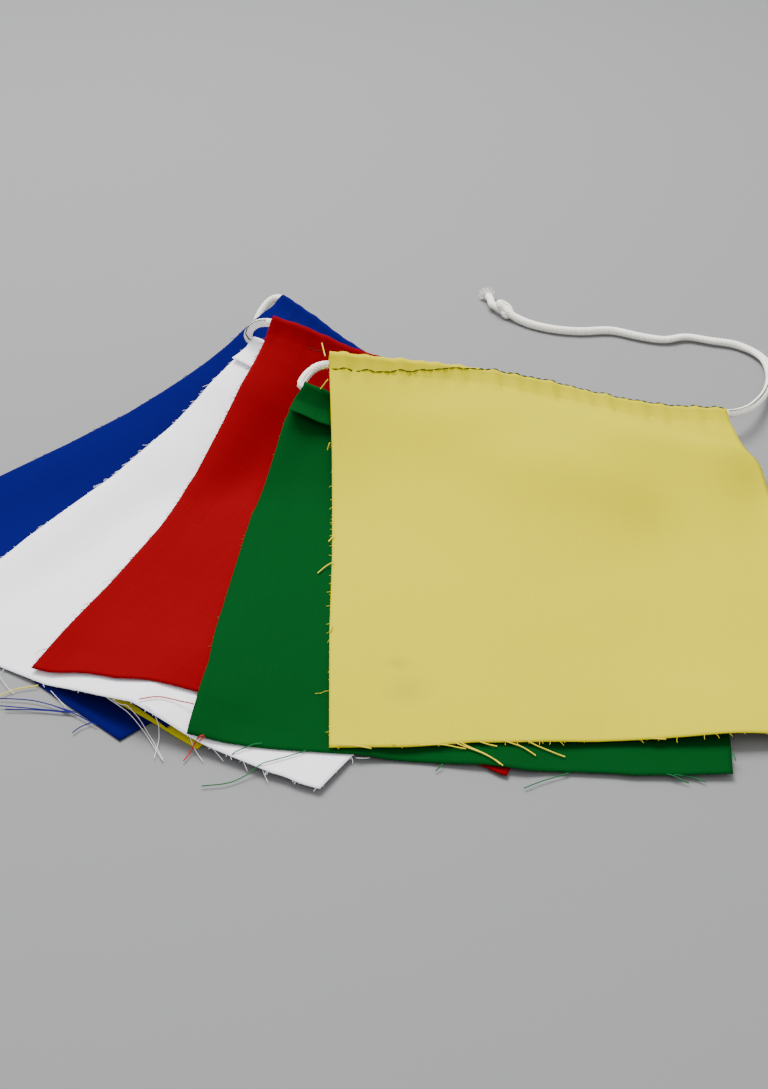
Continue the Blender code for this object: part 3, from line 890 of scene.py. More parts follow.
class Flag:
    """One flag with its hem, laid on the pile.

    The columns lie t along the hem and the rows q down the cloth; s and z are then each point's
    distance down in the plan and its height.
    """

    PINCH_ROWS = 4
    END_SPAN = 3
    WALK_BEYOND = 1.05
    SOFTEN_ROUNDS = 2
    WAVES = 7
    WAVE_SEED = 100
    WAVE_PITCH = 90
    WAVE_PHASE = 6
    FOOT_START = 0.075
    FOOT_EASE = 0.07
    FOLD_ENDS = (0.04, 0.96)
    FRAME_ROW = 6
    FRAME_BLUR = 8
    HEM_BLUR = 4
    CURL_REACH = 0.03
    CURL_POWER = 1.6
    PUCKERS = ((1.0, 0.0093, 1), (0.7, 0.0147, 2))
    PUCKER_DEPTH = 0.0002
    PUCKER_ON_ROLL = 0.6
    PUCKER_REACH = 0.004

    def __init__(self, cut: FlagCut, level: int) -> None:
        """Set out the flag's corner, directions, columns and rows.

        Args:
            cut: How the flag is cut, placed and held.
            level: How many flags lie below it.
        """
        turn = math.radians(cut.turn)
        self.cut = cut
        self.level = level
        self.corner = np.array(cut.left) - MIDDLE[:2]
        self.along = np.array((math.cos(turn), math.sin(turn)))
        self.down = np.array((math.sin(turn), -math.cos(turn)))
        self.t = np.linspace(0, FLAG_WIDTH, round(FLAG_WIDTH / cut.step) + 1)
        body = np.linspace(HEM_PINCH, cut.drop, round((cut.drop - HEM_PINCH) / cut.step) + 1)
        self.q = np.concatenate((np.linspace(0, HEM_PINCH, self.PINCH_ROWS)[:-1], body))
        self.s = np.zeros(0)
        self.z = np.zeros(0)
        self.ground = np.zeros(0)
        self.skin = np.zeros(0)
        self.lengths = np.zeros(0)
        self.waves = np.random.default_rng(self.WAVE_SEED + level).uniform(-1, 1, (self.WAVES, 4))

    def place(self, x: np.ndarray, y: np.ndarray) -> tuple[np.ndarray, np.ndarray]:
        """Return how far down and how far along the flag plan positions lie.

        Args:
            x: The positions' X.
            y: Their Y.

        Returns:
            The distances down, and the distances along.
        """
        dx = x - self.corner[0]
        dy = y - self.corner[1]
        down = dx * self.down[0] + dy * self.down[1]
        along = dx * self.along[0] + dy * self.along[1]
        return down, along - self.shift(along, down)

    def shift(self, along: np.ndarray, down: np.ndarray) -> np.ndarray:
        """Return how far the cut edges push the cloth sideways.

        Args:
            along: The places along the hem.
            down: Their distances down the cloth.

        Returns:
            The shifts to the right.
        """
        share = np.clip(along / FLAG_WIDTH, 0, 1)
        left = np.interp(down, *zip(*self.cut.left_edge))
        right = np.interp(down, *zip(*self.cut.right_edge))
        return left * (1 - share) + right * share

    def depths(self, down: np.ndarray, along: np.ndarray) -> tuple[np.ndarray, np.ndarray]:
        """Return how far the cloth and its hem reach below and above the middle of the sheet.

        Args:
            down: The places' distances down the cloth.
            along: Their distances along the hem.

        Returns:
            The depths below, and the depths above.
        """
        half = HEM_RADIUS + CLOTH / 2
        offset = self.cut.flap * HEM_PLIES_APART / 2
        inside = (along > 0) & (along < FLAG_WIDTH) & (down < self.cut.drop)
        tube = down > -half - CLEARANCE
        flap = tube & (down < HEM_FLAP + CLEARANCE)
        below = np.full(down.shape, CLOTH / 2)
        above = np.full(down.shape, CLOTH / 2)
        if self.cut.flap == Flap.UNDER:
            below[inside & flap] += HEM_PLIES_APART
        else:
            above[flap] += HEM_PLIES_APART
        crest = np.interp(down, (HEM_CREST, HEM_PINCH), (1, 0)) * tube
        below = np.maximum(below, below + crest * inside * (half - offset - below))
        above = np.maximum(above, above + crest * (half + offset - above))
        return below, above

    def held_height(self, down: np.ndarray, along: np.ndarray) -> np.ndarray:
        """Return the height at which the cords would hold the sheet, with nothing under it.

        Args:
            down: The places' distances down the cloth.
            along: Their distances along the hem.

        Returns:
            The heights.
        """
        if not self.cut.heights:
            return np.full(down.shape, FREE)
        hem = np.interp(along, *zip(*self.cut.heights))
        hold = np.clip(1 - down / self.cut.fall, 0, PAST_HEM) ** self.cut.power
        held = hem * hold - SINK * (1 - hold)
        if self.cut.left_heights:
            free = self.cut.heights[0][1] * hold - SINK * (1 - hold)
            edge = np.interp(down, *zip(*self.cut.left_heights))
            held += (edge - free) * (1 - smooth_step(along / self.cut.left_reach))
        return held

    def relief(self, down: np.ndarray, along: np.ndarray) -> np.ndarray:
        """Return the small waves, folds and lifted edges of the cloth, none of them downward.

        Args:
            down: The places' distances down the cloth.
            along: Their distances along the hem.

        Returns:
            How far they lift the cloth.
        """
        height = np.zeros(down.shape)
        for across, deep, phase, size in self.waves:
            turn = self.WAVE_PITCH * (across * along + deep * down) + self.WAVE_PHASE * phase
            height += (1 + np.sin(turn)) * abs(size)
        height *= self.cut.wave
        for t0, s0, t1, s1, rise, width in self.cut.folds:
            way = np.array((t1 - t0, s1 - s0))
            share = ((along - t0) * way[0] + (down - s0) * way[1]) / (way @ way)
            share = np.clip(share, 0, 1)
            off = np.hypot(along - t0 - share * way[0], down - s0 - share * way[1])
            taper = np.sin(np.pi * np.clip(share, *self.FOLD_ENDS))
            height += rise * np.exp(-((off / width) ** 2)) * taper
        if self.cut.foot:
            lift = np.interp(along, *zip(*self.cut.foot))
            height += lift * smooth_step((down - self.cut.drop + self.FOOT_START) / self.FOOT_EASE)
        return height

    def lay(self, x: np.ndarray, y: np.ndarray, top: np.ndarray) -> None:
        """Lay the cloth on the pile and raise the pile's top.

        Args:
            x: The raster's X.
            y: The raster's Y.
            top: The height of the pile's top, which is changed.
        """
        down, along = self.place(x, y)
        below, above = self.depths(down, along)
        self.ground = top.copy()
        need = top + below + CLEARANCE * (top > 0)
        rest = slide(need, self.cut.spread, np.max)
        for _ in range(self.SOFTEN_ROUNDS):
            rest = slide(rest, self.cut.soften, np.mean)
        if self.level == 0:
            rest = need
        height = soft_max(self.held_height(down, along), rest) + self.relief(down, along)
        self.drape(height)
        reach = np.interp(along, self.t, self.s[-1])
        half = HEM_RADIUS + CLOTH
        covered = (down > -half) & (down < reach) & (along > -half) & (along < FLAG_WIDTH + half)
        top[covered] = np.maximum(top, height + above)[covered]

    def drape(self, height: np.ndarray) -> None:
        """Walk down the cloth in equal steps of its length, over the raster of heights.

        Args:
            height: The raster of the sheet's heights.
        """
        pace = CELL / 2
        steps = np.arange(0, self.cut.drop * self.WALK_BEYOND, pace)
        down = np.zeros((len(steps), len(self.t)))
        level = np.zeros_like(down)
        spots = self.plan(down[0])
        level[0] = sample(height, spots[..., 0], spots[..., 1])
        for k in range(1, len(steps)):
            spots = self.plan(down[k - 1] + pace)
            slope = (sample(height, spots[..., 0], spots[..., 1]) - level[k - 1]) / pace
            down[k] = down[k - 1] + pace / np.sqrt(1 + slope**2)
            spots = self.plan(down[k])
            level[k] = sample(height, spots[..., 0], spots[..., 1])
        stretch = 1 + np.interp(self.t, *zip(*self.cut.longer)) / self.cut.drop
        rows = [self.q * stretch[j] for j in range(len(self.t))]
        self.s = np.column_stack([np.interp(row, steps, down[:, j]) for j, row in enumerate(rows)])
        self.z = np.column_stack([np.interp(row, steps, level[:, j]) for j, row in enumerate(rows)])

    def plan(self, down: np.ndarray) -> np.ndarray:
        """Return the plan places of the columns at their distances down the cloth."""
        along = self.t + self.shift(self.t, down)
        return self.corner + along[..., None] * self.along + down[..., None] * self.down

    def spine_points(self) -> np.ndarray:
        """Return the sheet's points, as rows by columns by three."""
        plan = np.array([self.plan(row) for row in self.s])
        return np.concatenate((plan, self.z[..., None]), axis=-1)

    def frames(self) -> tuple[np.ndarray, np.ndarray]:
        """Return the down and up directions of the cloth's first rows, for each column.

        Returns:
            The directions down, and the directions up.
        """
        spine = self.spine_points()
        rise = blur(spine[self.FRAME_ROW] - spine[0], self.FRAME_BLUR)
        hem = blur(np.gradient(spine[0], axis=0), self.HEM_BLUR)
        up = unit(np.cross(hem, -unit(rise)))
        return unit(np.cross(hem, up)), up

    def cord_line(self) -> np.ndarray:
        """Return the line of the cord in the hem, which may leave the left end lower than the hem.

        Returns:
            The line's points, from the left end to the right.
        """
        line = self.hem_line()
        dip = LOOPS[self.level - 1].dip if self.level else 0
        line[:, 2] -= dip * np.exp(-((self.t / DIP_REACH) ** 2))
        return line

    def hem_line(self) -> np.ndarray:
        """Return the middle line of the hem's roll, from the left end to the right."""
        up = self.frames()[1]
        return self.spine_points()[0] + up * self.cut.flap * HEM_PLIES_APART / 2

    def outward(self, end: End) -> np.ndarray:
        """Return the direction in which the cord leaves an end of the hem.

        Args:
            end: The hem's end.

        Returns:
            The direction.
        """
        line = self.hem_line()
        if end == End.RIGHT:
            return unit(line[-1] - line[-1 - self.END_SPAN])
        return unit(line[0] - line[self.END_SPAN])

    def hem_end(self, end: End) -> np.ndarray:
        """Return the cord's point at an end of the hem."""
        return self.hem_line()[-1 if end == End.RIGHT else 0]

    def puckers(self) -> np.ndarray:
        """Return how far the gathered cloth stands off the hem, for each column.

        Returns:
            The distances.
        """
        waves = [size * np.sin(self.t * 2 * np.pi / gap + turn * self.level)
                 for size, gap, turn in self.PUCKERS]
        return self.cut.pucker * sum(waves)

    def flap_rows(self) -> list[tuple[float, np.ndarray]]:
        """Lay out the flap, from its raw edge to the pinch.

        Returns:
            For each row, how far down the cloth it is, and its points.
        """
        spine = self.spine_points()
        across, up = self.frames()
        curl = self.cut.curl * np.exp(-((self.t / self.CURL_REACH) ** 2))
        rows = []
        for q in np.linspace(HEM_FLAP, HEM_PINCH, FLAP_ROWS):
            k = np.searchsorted(self.q, q)
            share = (q - self.q[k - 1]) / (self.q[k] - self.q[k - 1])
            base = spine[k - 1] + (spine[k] - spine[k - 1]) * share
            loose = max((q - HEM_PINCH) / (HEM_FLAP - HEM_PINCH), 0)
            rise = self.cut.flap * HEM_PLIES_APART + curl * loose**self.CURL_POWER
            lifted = base + up * rise[:, None]
            rows.append((-HEM_RADIUS * ROLL_ARC - q, lifted - across * (curl * loose / 2)[:, None]))
        return rows

    def roll_rows(self) -> list[tuple[float, np.ndarray]]:
        """Lay out the roll round the cord, from the flap's side to the cloth's.

        Returns:
            For each row, how far down the cloth it is, and its points.
        """
        across, up = self.frames()
        middle = self.hem_line()
        radius = HEM_RADIUS + np.maximum(self.puckers(), -self.PUCKER_DEPTH) * self.PUCKER_ON_ROLL
        rows = []
        for angle in np.radians(np.linspace(ROLL_START, ROLL_END, HEM_STEPS)):
            rim = across * math.cos(angle) - up * self.cut.flap * math.sin(angle)
            rows.append((-HEM_RADIUS * (angle - math.radians(ROLL_END)), middle + rim * radius[:, None]))
        return rows

    def body_rows(self) -> list[tuple[float, np.ndarray]]:
        """Lay out the cloth from the pinch to its foot.

        Returns:
            For each row, how far down the cloth it is, and its points.
        """
        spine = self.spine_points()
        up = self.frames()[1]
        puckers = self.puckers()
        rows = []
        for k in range(self.PINCH_ROWS - 1, len(self.q)):
            near = math.exp(-((self.q[k] - HEM_PINCH) / self.PUCKER_REACH) ** 2)
            rows.append((self.q[k], spine[k] + up * (puckers * near)[:, None]))
        return rows

    def build(self, finishes: Finishes) -> bpy.types.Object:
        """Make the flag's cloth.

        Args:
            finishes: The materials.

        Returns:
            The cloth.
        """
        rows = self.flap_rows() + self.roll_rows() + self.body_rows()
        self.lengths = np.array([length for length, _ in rows])
        self.skin = np.array([points for _, points in rows])
        uvs = np.zeros((*self.skin.shape[:2], 2))
        uvs[..., 0] = self.t
        uvs[..., 1] = self.lengths[:, None]
        mesh = grid_mesh(self.cut.node, self.skin, uvs, Coords.CLOTH)
        flag = add_piece(self.cut.node.replace("flag", "cloth"), mesh, finishes[self.cut.colour])
        thick = flag.modifiers.new("cloth", "SOLIDIFY")
        thick.thickness = CLOTH
        thick.offset = 0
        thick.use_even_offset = False
        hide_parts(self.cut.node)
        return flag

    def on_cloth(self, along: float, length: float, lift: float = 0.0) -> np.ndarray:
        """Return a place on the cloth.

        Args:
            along: The distance along the hem.
            length: The distance down the cloth from the roll's end.
            lift: How far off the outer face the place lies.

        Returns:
            The place.
        """
        column = np.clip(along / FLAG_WIDTH, 0, 1) * (len(self.t) - 1)
        i = min(int(column), len(self.t) - 2)
        a = column - i
        line = self.skin[:, i] * (1 - a) + self.skin[:, i + 1] * a
        k = int(np.clip(np.searchsorted(self.lengths, length), 1, len(self.lengths) - 1))
        b = (length - self.lengths[k - 1]) / (self.lengths[k] - self.lengths[k - 1])
        spot = line[k - 1] + (line[k] - line[k - 1]) * b
        tangent = line[k] - line[k - 1]
        side = self.skin[k, i + 1] - self.skin[k, i]
        normal = unit(np.cross(tangent, side))
        return spot + normal * (lift + CLOTH / 2) * (1 if normal[2] > 0 else -1)


class Pile:
    """All the flags, laid one on another, and the loops of cord between them."""

    def __init__(self) -> None:
        """Set out the raster of heights, with nothing on it."""
        columns = np.arange(-REACH_X, REACH_X + CELL / 2, CELL)
        rows = np.arange(-REACH_Y, REACH_Y + CELL / 2, CELL)
        self.x, self.y = np.meshgrid(columns, rows)
        self.top = np.zeros_like(self.x)
        self.flags: list[Flag] = []
        self.loops: list[np.ndarray] = []

    def lay_all(self) -> None:
        """Lay the flags from the bottom to the top."""
        for level, cut in enumerate(CUTS):
            flag = Flag(cut, level)
            flag.lay(self.x, self.y, self.top)
            if self.flags:
                end = End.RIGHT if level % 2 == 0 else End.LEFT
                loop = self.loop(self.flags[-1], flag, end, LOOPS[level - 1])
                self.loops.append(loop)
                self.stamp(loop)
            self.flags.append(flag)
            LOG.info("laid %s", cut.node)

    def stamp(self, points: np.ndarray) -> None:
        """Raise the pile's top along a run of loose cord.

        Args:
            points: The cord's points.
        """
        for spot in points:
            near = np.hypot(self.x - spot[0], self.y - spot[1]) < CORD_RADIUS + CLEARANCE
            self.top[near] = np.maximum(self.top[near], spot[2] + CORD_RADIUS)

    def loop(self, lower: Flag, upper: Flag, end: End, shape: LoopShape) -> np.ndarray:
        """Run a loop of cord from a hem's end to that of the hem above.

        Args:
            lower: The lower flag.
            upper: The upper flag.
            end: The end of both hems that the loop joins.
            shape: How the loop swings and sags.

        Returns:
            The loop's points.
        """
        leave = lower.outward(end)
        arrive = upper.outward(end)
        leave[2] = 0
        arrive[2] = 0
        first = lower.hem_end(end) + leave * LOOP_STUB
        last = upper.hem_end(end) + arrive * LOOP_STUB - np.array((0, 0, shape.dip))
        drop = np.array((0, 0, shape.sag))
        handles = (first, first + leave * shape.swing_low - drop,
                   last + arrive * shape.swing_high - drop, last)
        points = [first]
        for a in np.linspace(0, 1, LOOP_POINTS + 2)[1:-1]:
            weights = ((1 - a) ** 3, 3 * a * (1 - a) ** 2, 3 * a**2 * (1 - a), a**3)
            spot = sum(w * handle for w, handle in zip(weights, handles))
            if LOOP_RESTS[0] < len(points) / LOOP_POINTS < LOOP_RESTS[1]:
                floor = sample(lower.ground, spot[0], spot[1]) + CORD_RADIUS + CLEARANCE
                spot = np.array((spot[0], spot[1], max(spot[2], floor)))
            points.append(spot)
        return np.array(points + [last])


# The cord
TAIL_START = (0.20711, 0.09616, 0.0130)
TAIL_LEAVE = (0.980, 0.10, -0.170)
TAIL_ROUTE = (
    (0.2189, 0.1092, 0.0105),
    (0.2262, 0.1207, 0.0085),
    (0.2325, 0.1337, 0.0065),
    (0.2382, 0.1501, 0.0045),
    (0.2418, 0.1664, 0.0030),
    (0.2429, 0.1812, 0.0024),
    (0.2399, 0.1913, 0.0024),
    (0.2346, 0.1990, 0.0024),
    (0.2272, 0.2049, 0.0024),
    (0.2177, 0.2079, 0.0024),
    (0.2033, 0.2138, 0.0024),
    (0.1914, 0.2094, 0.0024),
    (0.1778, 0.2138, 0.0024),
    (0.1618, 0.2220, 0.0024),
    (0.1457, 0.2205, 0.0024),
    (0.1305, 0.2232, 0.0024),
    (0.1168, 0.2306, 0.0024),
    (0.1088, 0.2385, 0.0030),
)
# Share of the way along the tail, then how much wider than round the cord lies there
TAIL_WIDTHS = ((0, 1.1), (0.2, 0.88), (0.3, 0.98), (0.36, 1.28), (0.42, 1.25), (0.47, 1.0), (0.53, 1.14),
               (0.6, 1.2), (0.66, 1.06), (0.75, 0.96), (1, 0.92))
KNOT_END = (0.0972, 0.2535, 0.0036)
TIP_END = (0.0946, 0.2690, 0.0030)


@dataclass
class Braid:
    """A run of braided cord, as a tube whose strands stand out of it.

    Flatness says how much wider than round each ring is; lobes is the number of strands each way
    round, repeat the length of their turn, stand how far they stand out as a share of the
    cord's radius, and even the relief at which the tube has just that radius.
    """

    name: str
    points: np.ndarray
    flatness: np.ndarray | None = None
    around: int = 30
    meld: float = 1e-6
    lobes: int = 3
    repeat: float = 0.0042
    stand: float = 0.26
    even: float = 0.7

    def sides(self) -> np.ndarray:
        """Return the sideways direction of each ring, with no twist between rings.

        Returns:
            The directions, one for each ring.
        """
        ways = unit(np.gradient(self.points, axis=0))
        side = unit(np.cross(ways[0], (0, 0, 1)))
        sides = [side]
        for way in ways[1:]:
            side = unit(side - way * (side @ way))
            sides.append(side)
        return np.array(sides)

    def build(self, finishes: Finishes) -> bpy.types.Object:
        """Make the cord's tube.

        Args:
            finishes: The materials.

        Returns:
            The tube.
        """
        ways = unit(np.gradient(self.points, axis=0))
        sides = self.sides()
        ups = np.cross(sides, ways)
        run = run_length(self.points)
        angle = np.linspace(0, 2 * np.pi, self.around + 1)
        lean = run[:, None] * 2 * np.pi / self.repeat
        left = np.abs(np.cos(self.lobes * angle + lean))
        right = np.abs(np.cos(self.lobes * angle - lean))
        relief = np.sqrt(left * right)
        radius = CORD_RADIUS * (1 + self.stand * (relief - self.even))
        wide = np.ones((len(run), 1)) if self.flatness is None else self.flatness[:, None]
        points = self.points[:, None, :] + sides[:, None, :] * (np.cos(angle) * radius * wide)[..., None]
        points = points + ups[:, None, :] * (np.sin(angle) * radius / wide)[..., None]
        uvs = np.zeros((*relief.shape, 2))
        uvs[..., 0] = angle * CORD_RADIUS
        uvs[..., 1] = run[:, None]
        mesh = grid_mesh(self.name, points, uvs, Coords.CORD)
        height = mesh.attributes.new("relief", "FLOAT", "POINT")
        height.data.foreach_set("value", relief.reshape(-1).astype(np.float32))
        shape = bmesh.new()
        shape.from_mesh(mesh)
        bmesh.ops.remove_doubles(shape, verts=shape.verts[:], dist=self.meld)
        bmesh.ops.holes_fill(shape, edges=[e for e in shape.edges if e.is_boundary])
        bmesh.ops.recalc_face_normals(shape, faces=shape.faces[:])
        shape.to_mesh(mesh)
        shape.free()
        mesh.shade_smooth()
        return add_piece(self.name, mesh, finishes["braided_cotton"])


@dataclass
class CordString:
    """The cord: its run through the hems, its free tail, and the knot and tuft at its end."""

    step: float = 0.0005
    hidden_stride: int = 4
    first_seen_loop: int = 4
    threaded_loop: int = 6
    loop_ease: int = 16
    tail_ease: int = 60
    route_step: float = 0.002
    strand_room: float = 1.08
    thread_radius: float = 0.0003
    thread_lift: float = 0.0004
    thread_stride: int = 6
    thread_rise: float = 0.9
    tail_thread: int = 110
    end_span: int = 5
    path_stride: int = 4
    knot_turns: int = 40
    knot_reach: float = 1.93
    knot_step: float = 0.0004
    knot_ease: int = 30
    knot_length: float = 0.0042
    knot_width: float = 0.0024
    knot_depth: float = 0.0026
    knot_height: float = 0.0047
    knot_trim: int = 2
    knot_entry: float = 0.001
    knot_exit: float = 0.002
    tip_arch: float = 0.0006
    floor_gap: float = 0.0001
    tuft_seed: int = 7
    tuft_strands: int = 70
    tuft_points: int = 6
    tuft_hold: float = 0.0022
    tuft_reach: tuple[float, float] = (0.0018, 0.0045)
    tuft_root: float = 0.85
    tuft_flare: float = 0.0036
    tuft_spread: tuple[float, float] = (0.1, 1.0)
    tuft_power: float = 1.5
    tuft_radius: float = 0.00016
    tuft_lowest: float = 0.0003

    def build_hem_run(self, pile: Pile, finishes: Finishes) -> None:
        """Make the cord that runs through the hems and loops between them.

        Its rings are close together in the loops that show, and far apart inside the hems.

        Args:
            pile: The flags and loops.
            finishes: The materials.
        """
        first = pile.flags[0]
        route = [first.hem_end(End.RIGHT) + first.outward(End.RIGHT) * END_STUB]
        seen = [False]
        for level, flag in enumerate(pile.flags):
            line = list(flag.cord_line())
            route.extend(line if level % 2 else line[::-1])
            seen.extend([False] * len(line))
            if level < len(pile.loops):
                route.extend(pile.loops[level])
                seen.extend([level >= self.first_seen_loop] * len(pile.loops[level]))
        route = np.array(route)
        points = ease_kinks(even_steps(route, self.step), self.loop_ease)
        points[:, 2] = np.maximum(points[:, 2], CORD_RADIUS * self.strand_room)
        shown = np.interp(run_length(points), run_length(route), np.array(seen, dtype=float)) > 0
        kept = shown | (np.arange(len(points)) % self.hidden_stride == 0)
        kept[-1] = True
        run = Braid("hem_cord_braid", points[kept]).build(finishes)
        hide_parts("hem_cord")

    def build_threads(self, pile: Pile, view: Viewpoint, finishes: Finishes) -> None:
        """Lay the sewing threads' loose ends along the cord, on the side that the camera sees.

        Args:
            pile: The flags and loops.
            view: The camera.
            finishes: The materials.
        """
        loop = ease_kinks(even_steps(pile.loops[self.threaded_loop], self.step), self.loop_ease)
        tail = self.tail_points()[:self.tail_thread]
        for name, line, colour in (("loop_thread", loop, "navy_thread"),
                                   ("tail_thread", tail, "green_thread")):
            ways = unit(np.gradient(line, axis=0))
            outer = unit(np.array(view.place) - line) + np.array((0, 0, self.thread_rise))
            outer = unit(outer - ways * (outer * ways).sum(axis=1)[:, None])
            spots = line + outer * (CORD_RADIUS + self.thread_lift)
            add_strands(name, [spots[::self.thread_stride]], self.thread_radius, finishes[colour])

    def tail_points(self) -> np.ndarray:
        """Return the free tail's line.

        Returns:
            The line's points, from the hem to the knot.
        """
        start = np.array(TAIL_START)
        leave = unit(np.array(TAIL_LEAVE))
        bend = start + leave * LOOP_STUB
        route = [bend, bend + leave * LOOP_STUB, *(np.array(TAIL_ROUTE) - MIDDLE)]
        curve = np.vstack(([start], smooth_curve(route, self.route_step)))
        return ease_kinks(even_steps(curve, self.step), self.tail_ease)

    def build_tail(self, finishes: Finishes) -> None:
        """Args:
            finishes: The materials.
        """
        points = self.tail_points()
        flat = np.interp(np.linspace(0, 1, len(points)), *zip(*TAIL_WIDTHS))
        tail = Braid("tail_cord_braid", points, flat).build(finishes)
        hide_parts("tail_cord")
        way = unit(points[-1] - points[-1 - self.end_span])
        knot = self.build_knot(points[-1], way, finishes)
        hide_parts("tail_knot")
        tuft = self.build_tuft(finishes)

    def build_knot(self, start: np.ndarray, way: np.ndarray, finishes: Finishes) -> bpy.types.Object:
        """Make the plain overhand knot and the short tip behind it.

        Args:
            start: The tail's last point.
            way: The direction in which the tail ends.
            finishes: The materials.

        Returns:
            The knot.
        """
        middle = np.array(KNOT_END) - MIDDLE
        tip = np.array(TIP_END) - MIDDLE
        axis = unit(middle - start)
        side = unit(np.cross(axis, (0, 0, 1)))
        centre = (start + middle) / 2
        turns = np.linspace(-self.knot_reach, self.knot_reach, self.knot_turns)
        # The usual polynomials of an overhand knot, each scaled to run from about -1 to 1
        cubic = (turns**3 - 3 * turns) / 2
        swing = (turns**4 - 4 * turns**2 + 2.6) / 2
        depth = (turns**5 - 10 * turns) / 8.5
        knot = centre + cubic[:, None] * axis * self.knot_length + swing[:, None] * side * self.knot_width
        knot[:, 2] = self.knot_height + depth * self.knot_depth
        entry = [start, start + way * self.knot_entry]
        arch = (middle + tip) / 2 + (0, 0, self.tip_arch)
        turned = knot[self.knot_trim:-self.knot_trim]
        route = np.vstack((entry, turned, [middle + axis * self.knot_exit, arch, tip]))
        route[:, 2] = np.maximum(route[:, 2], CORD_RADIUS + self.floor_gap)
        points = ease_kinks(even_steps(route, self.knot_step), self.knot_ease)
        return Braid("tail_knot_braid", points).build(finishes)

    def build_tuft(self, finishes: Finishes) -> bpy.types.Object:
        """Make the frayed yarns at the cord's tip.

        Args:
            finishes: The materials.

        Returns:
            The tuft.
        """
        random = np.random.default_rng(self.tuft_seed)
        middle = np.array(KNOT_END) - MIDDLE
        tip = np.array(TIP_END) - MIDDLE
        way = unit(tip - middle)
        side = unit(np.cross(way, (0, 0, 1)))
        strands = []
        for _ in range(self.tuft_strands):
            spin = random.uniform(0, 2 * np.pi)
            out = side * math.cos(spin) + np.array((0, 0, 1)) * math.sin(spin)
            reach = random.uniform(*self.tuft_reach)
            flare = random.uniform(*self.tuft_spread) * self.tuft_flare
            points = []
            for a in np.linspace(0, 1, self.tuft_points):
                spot = tip - way * self.tuft_hold + way * (self.tuft_hold + reach) * a
                spot = spot + out * (CORD_RADIUS * self.tuft_root + flare * a**self.tuft_power)
                spot[2] = max(spot[2], self.tuft_lowest)
                points.append(spot)
            strands.append(np.array(points))
        return add_strands("tail_tuft", strands, self.tuft_radius, finishes["loose_cord"])


# Sewing and loose threads
@dataclass(frozen=True)
class StitchRun:
    """A run of machine stitches along a hem.

    Each stitch humps up between its two ends, which sink into the cloth, by shares of the
    thread's radius.
    """

    flag: str
    thread: str
    pitch: float = 0.0036
    gap: float = 0.0006
    radius: float = 0.00022
    wander: float = 0.0005
    start: float = 0.001
    end: float = 0.199
    points: int = 6
    hump: float = 1.7
    sink: float = 0.6
    seed: int = 40

    def build(self, flag: Flag, finishes: Finishes) -> None:
        """Sew the stitches on the flag.

        Args:
            flag: The flag.
            finishes: The materials.
        """
        random = np.random.default_rng(self.seed + flag.level)
        strands = []
        count = int((self.end - self.start) / self.pitch)
        sway = random.uniform(-1, 1, count + 1) * self.wander
        for k in range(count):
            here = self.start + k * self.pitch
            points = []
            for a in np.linspace(0, 1, self.points):
                along = here + self.gap / 2 + (self.pitch - self.gap) * a
                length = np.interp(along, *zip(*flag.cut.stitch_line))
                length += sway[k] * (1 - a) + sway[k + 1] * a
                lift = self.radius * (self.hump * math.sin(math.pi * a) - self.sink)
                points.append(flag.on_cloth(along, length, lift))
            strands.append(np.array(points))
        add_strands(f"stitches_{flag.cut.node[5:]}", strands, self.radius, finishes[self.thread])


class Edge(Enum):
    """The raw edges of a flag."""

    LEFT = "left"
    RIGHT = "right"
    FOOT = "foot"


@dataclass(frozen=True)
class Fray:
    """Short frayed thread ends along the raw edges of a flag.

    Margins are what stays clear at an edge's two ends.  Beyond its inset each end is at least as
    long as least, and longer by chance; lean and bend are a middle and a spread, as shares.
    """

    flag: str
    thread: str
    edges: tuple[Edge, ...] = (Edge.LEFT, Edge.FOOT)
    gap: float = 0.0012
    reach: float = 0.0016
    radius: float = 0.00014
    inset: float = 0.0008
    points: int = 4
    clearance: float = 0.0004
    margins: tuple[float, float] = (0.002, 0.001)
    least: float = 0.0003
    longer: float = 0.6
    lean: tuple[float, float] = (0.35, 0.6)
    bend: tuple[float, float] = (0, 0.09)
    fall: float = 0.25
    seed: int = 70

    def build(self, flag: Flag, finishes: Finishes) -> None:
        """Add the thread ends to the flag.

        Args:
            flag: The flag.
            finishes: The materials.
        """
        random = np.random.default_rng(self.seed + flag.level)
        strands = []
        for edge in self.edges:
            long = FLAG_WIDTH if edge == Edge.FOOT else flag.cut.drop
            for _ in range(int(long / self.gap)):
                place = random.uniform(self.margins[0], long - self.margins[1])
                strands.append(self.strand(flag, edge, place, random))
        name = f"fray_{flag.cut.node[5:]}_{self.edges[0].value}"
        add_strands(name, strands, self.radius, finishes[self.thread])

    def strand(self, flag: Flag, edge: Edge, place: float, random: np.random.Generator) -> np.ndarray:
        """Return one thread end.

        Args:
            flag: The flag.
            edge: The edge that it stands on.
            place: How far along that edge the thread starts.
            random: The source of its length and lean.

        Returns:
            The thread's points.
        """
        if edge == Edge.FOOT:
            root = flag.on_cloth(place, flag.cut.drop - self.inset)
            way = np.array((*flag.down, 0))
            along = np.array((*flag.along, 0))
        else:
            left = edge == Edge.LEFT
            root = flag.on_cloth(self.inset if left else FLAG_WIDTH - self.inset, place)
            way = np.array((*flag.along, 0)) * (-1 if left else 1)
            along = np.array((*flag.down, 0))
        length = self.inset + self.reach * random.exponential(self.longer) + self.least
        heading = unit(way + along * random.normal(*self.lean))
        points = []
        for a in np.linspace(0, 1, self.points):
            bend = random.normal(*self.bend) * a * a
            spot = root + heading * length * a + along * length * bend
            floor = sample(flag.ground, spot[0], spot[1]) + self.radius + self.clearance
            spot[2] = max(root[2] - self.fall * length * a * a - CLOTH / 2, floor)
            points.append(spot)
        return np.array(points)


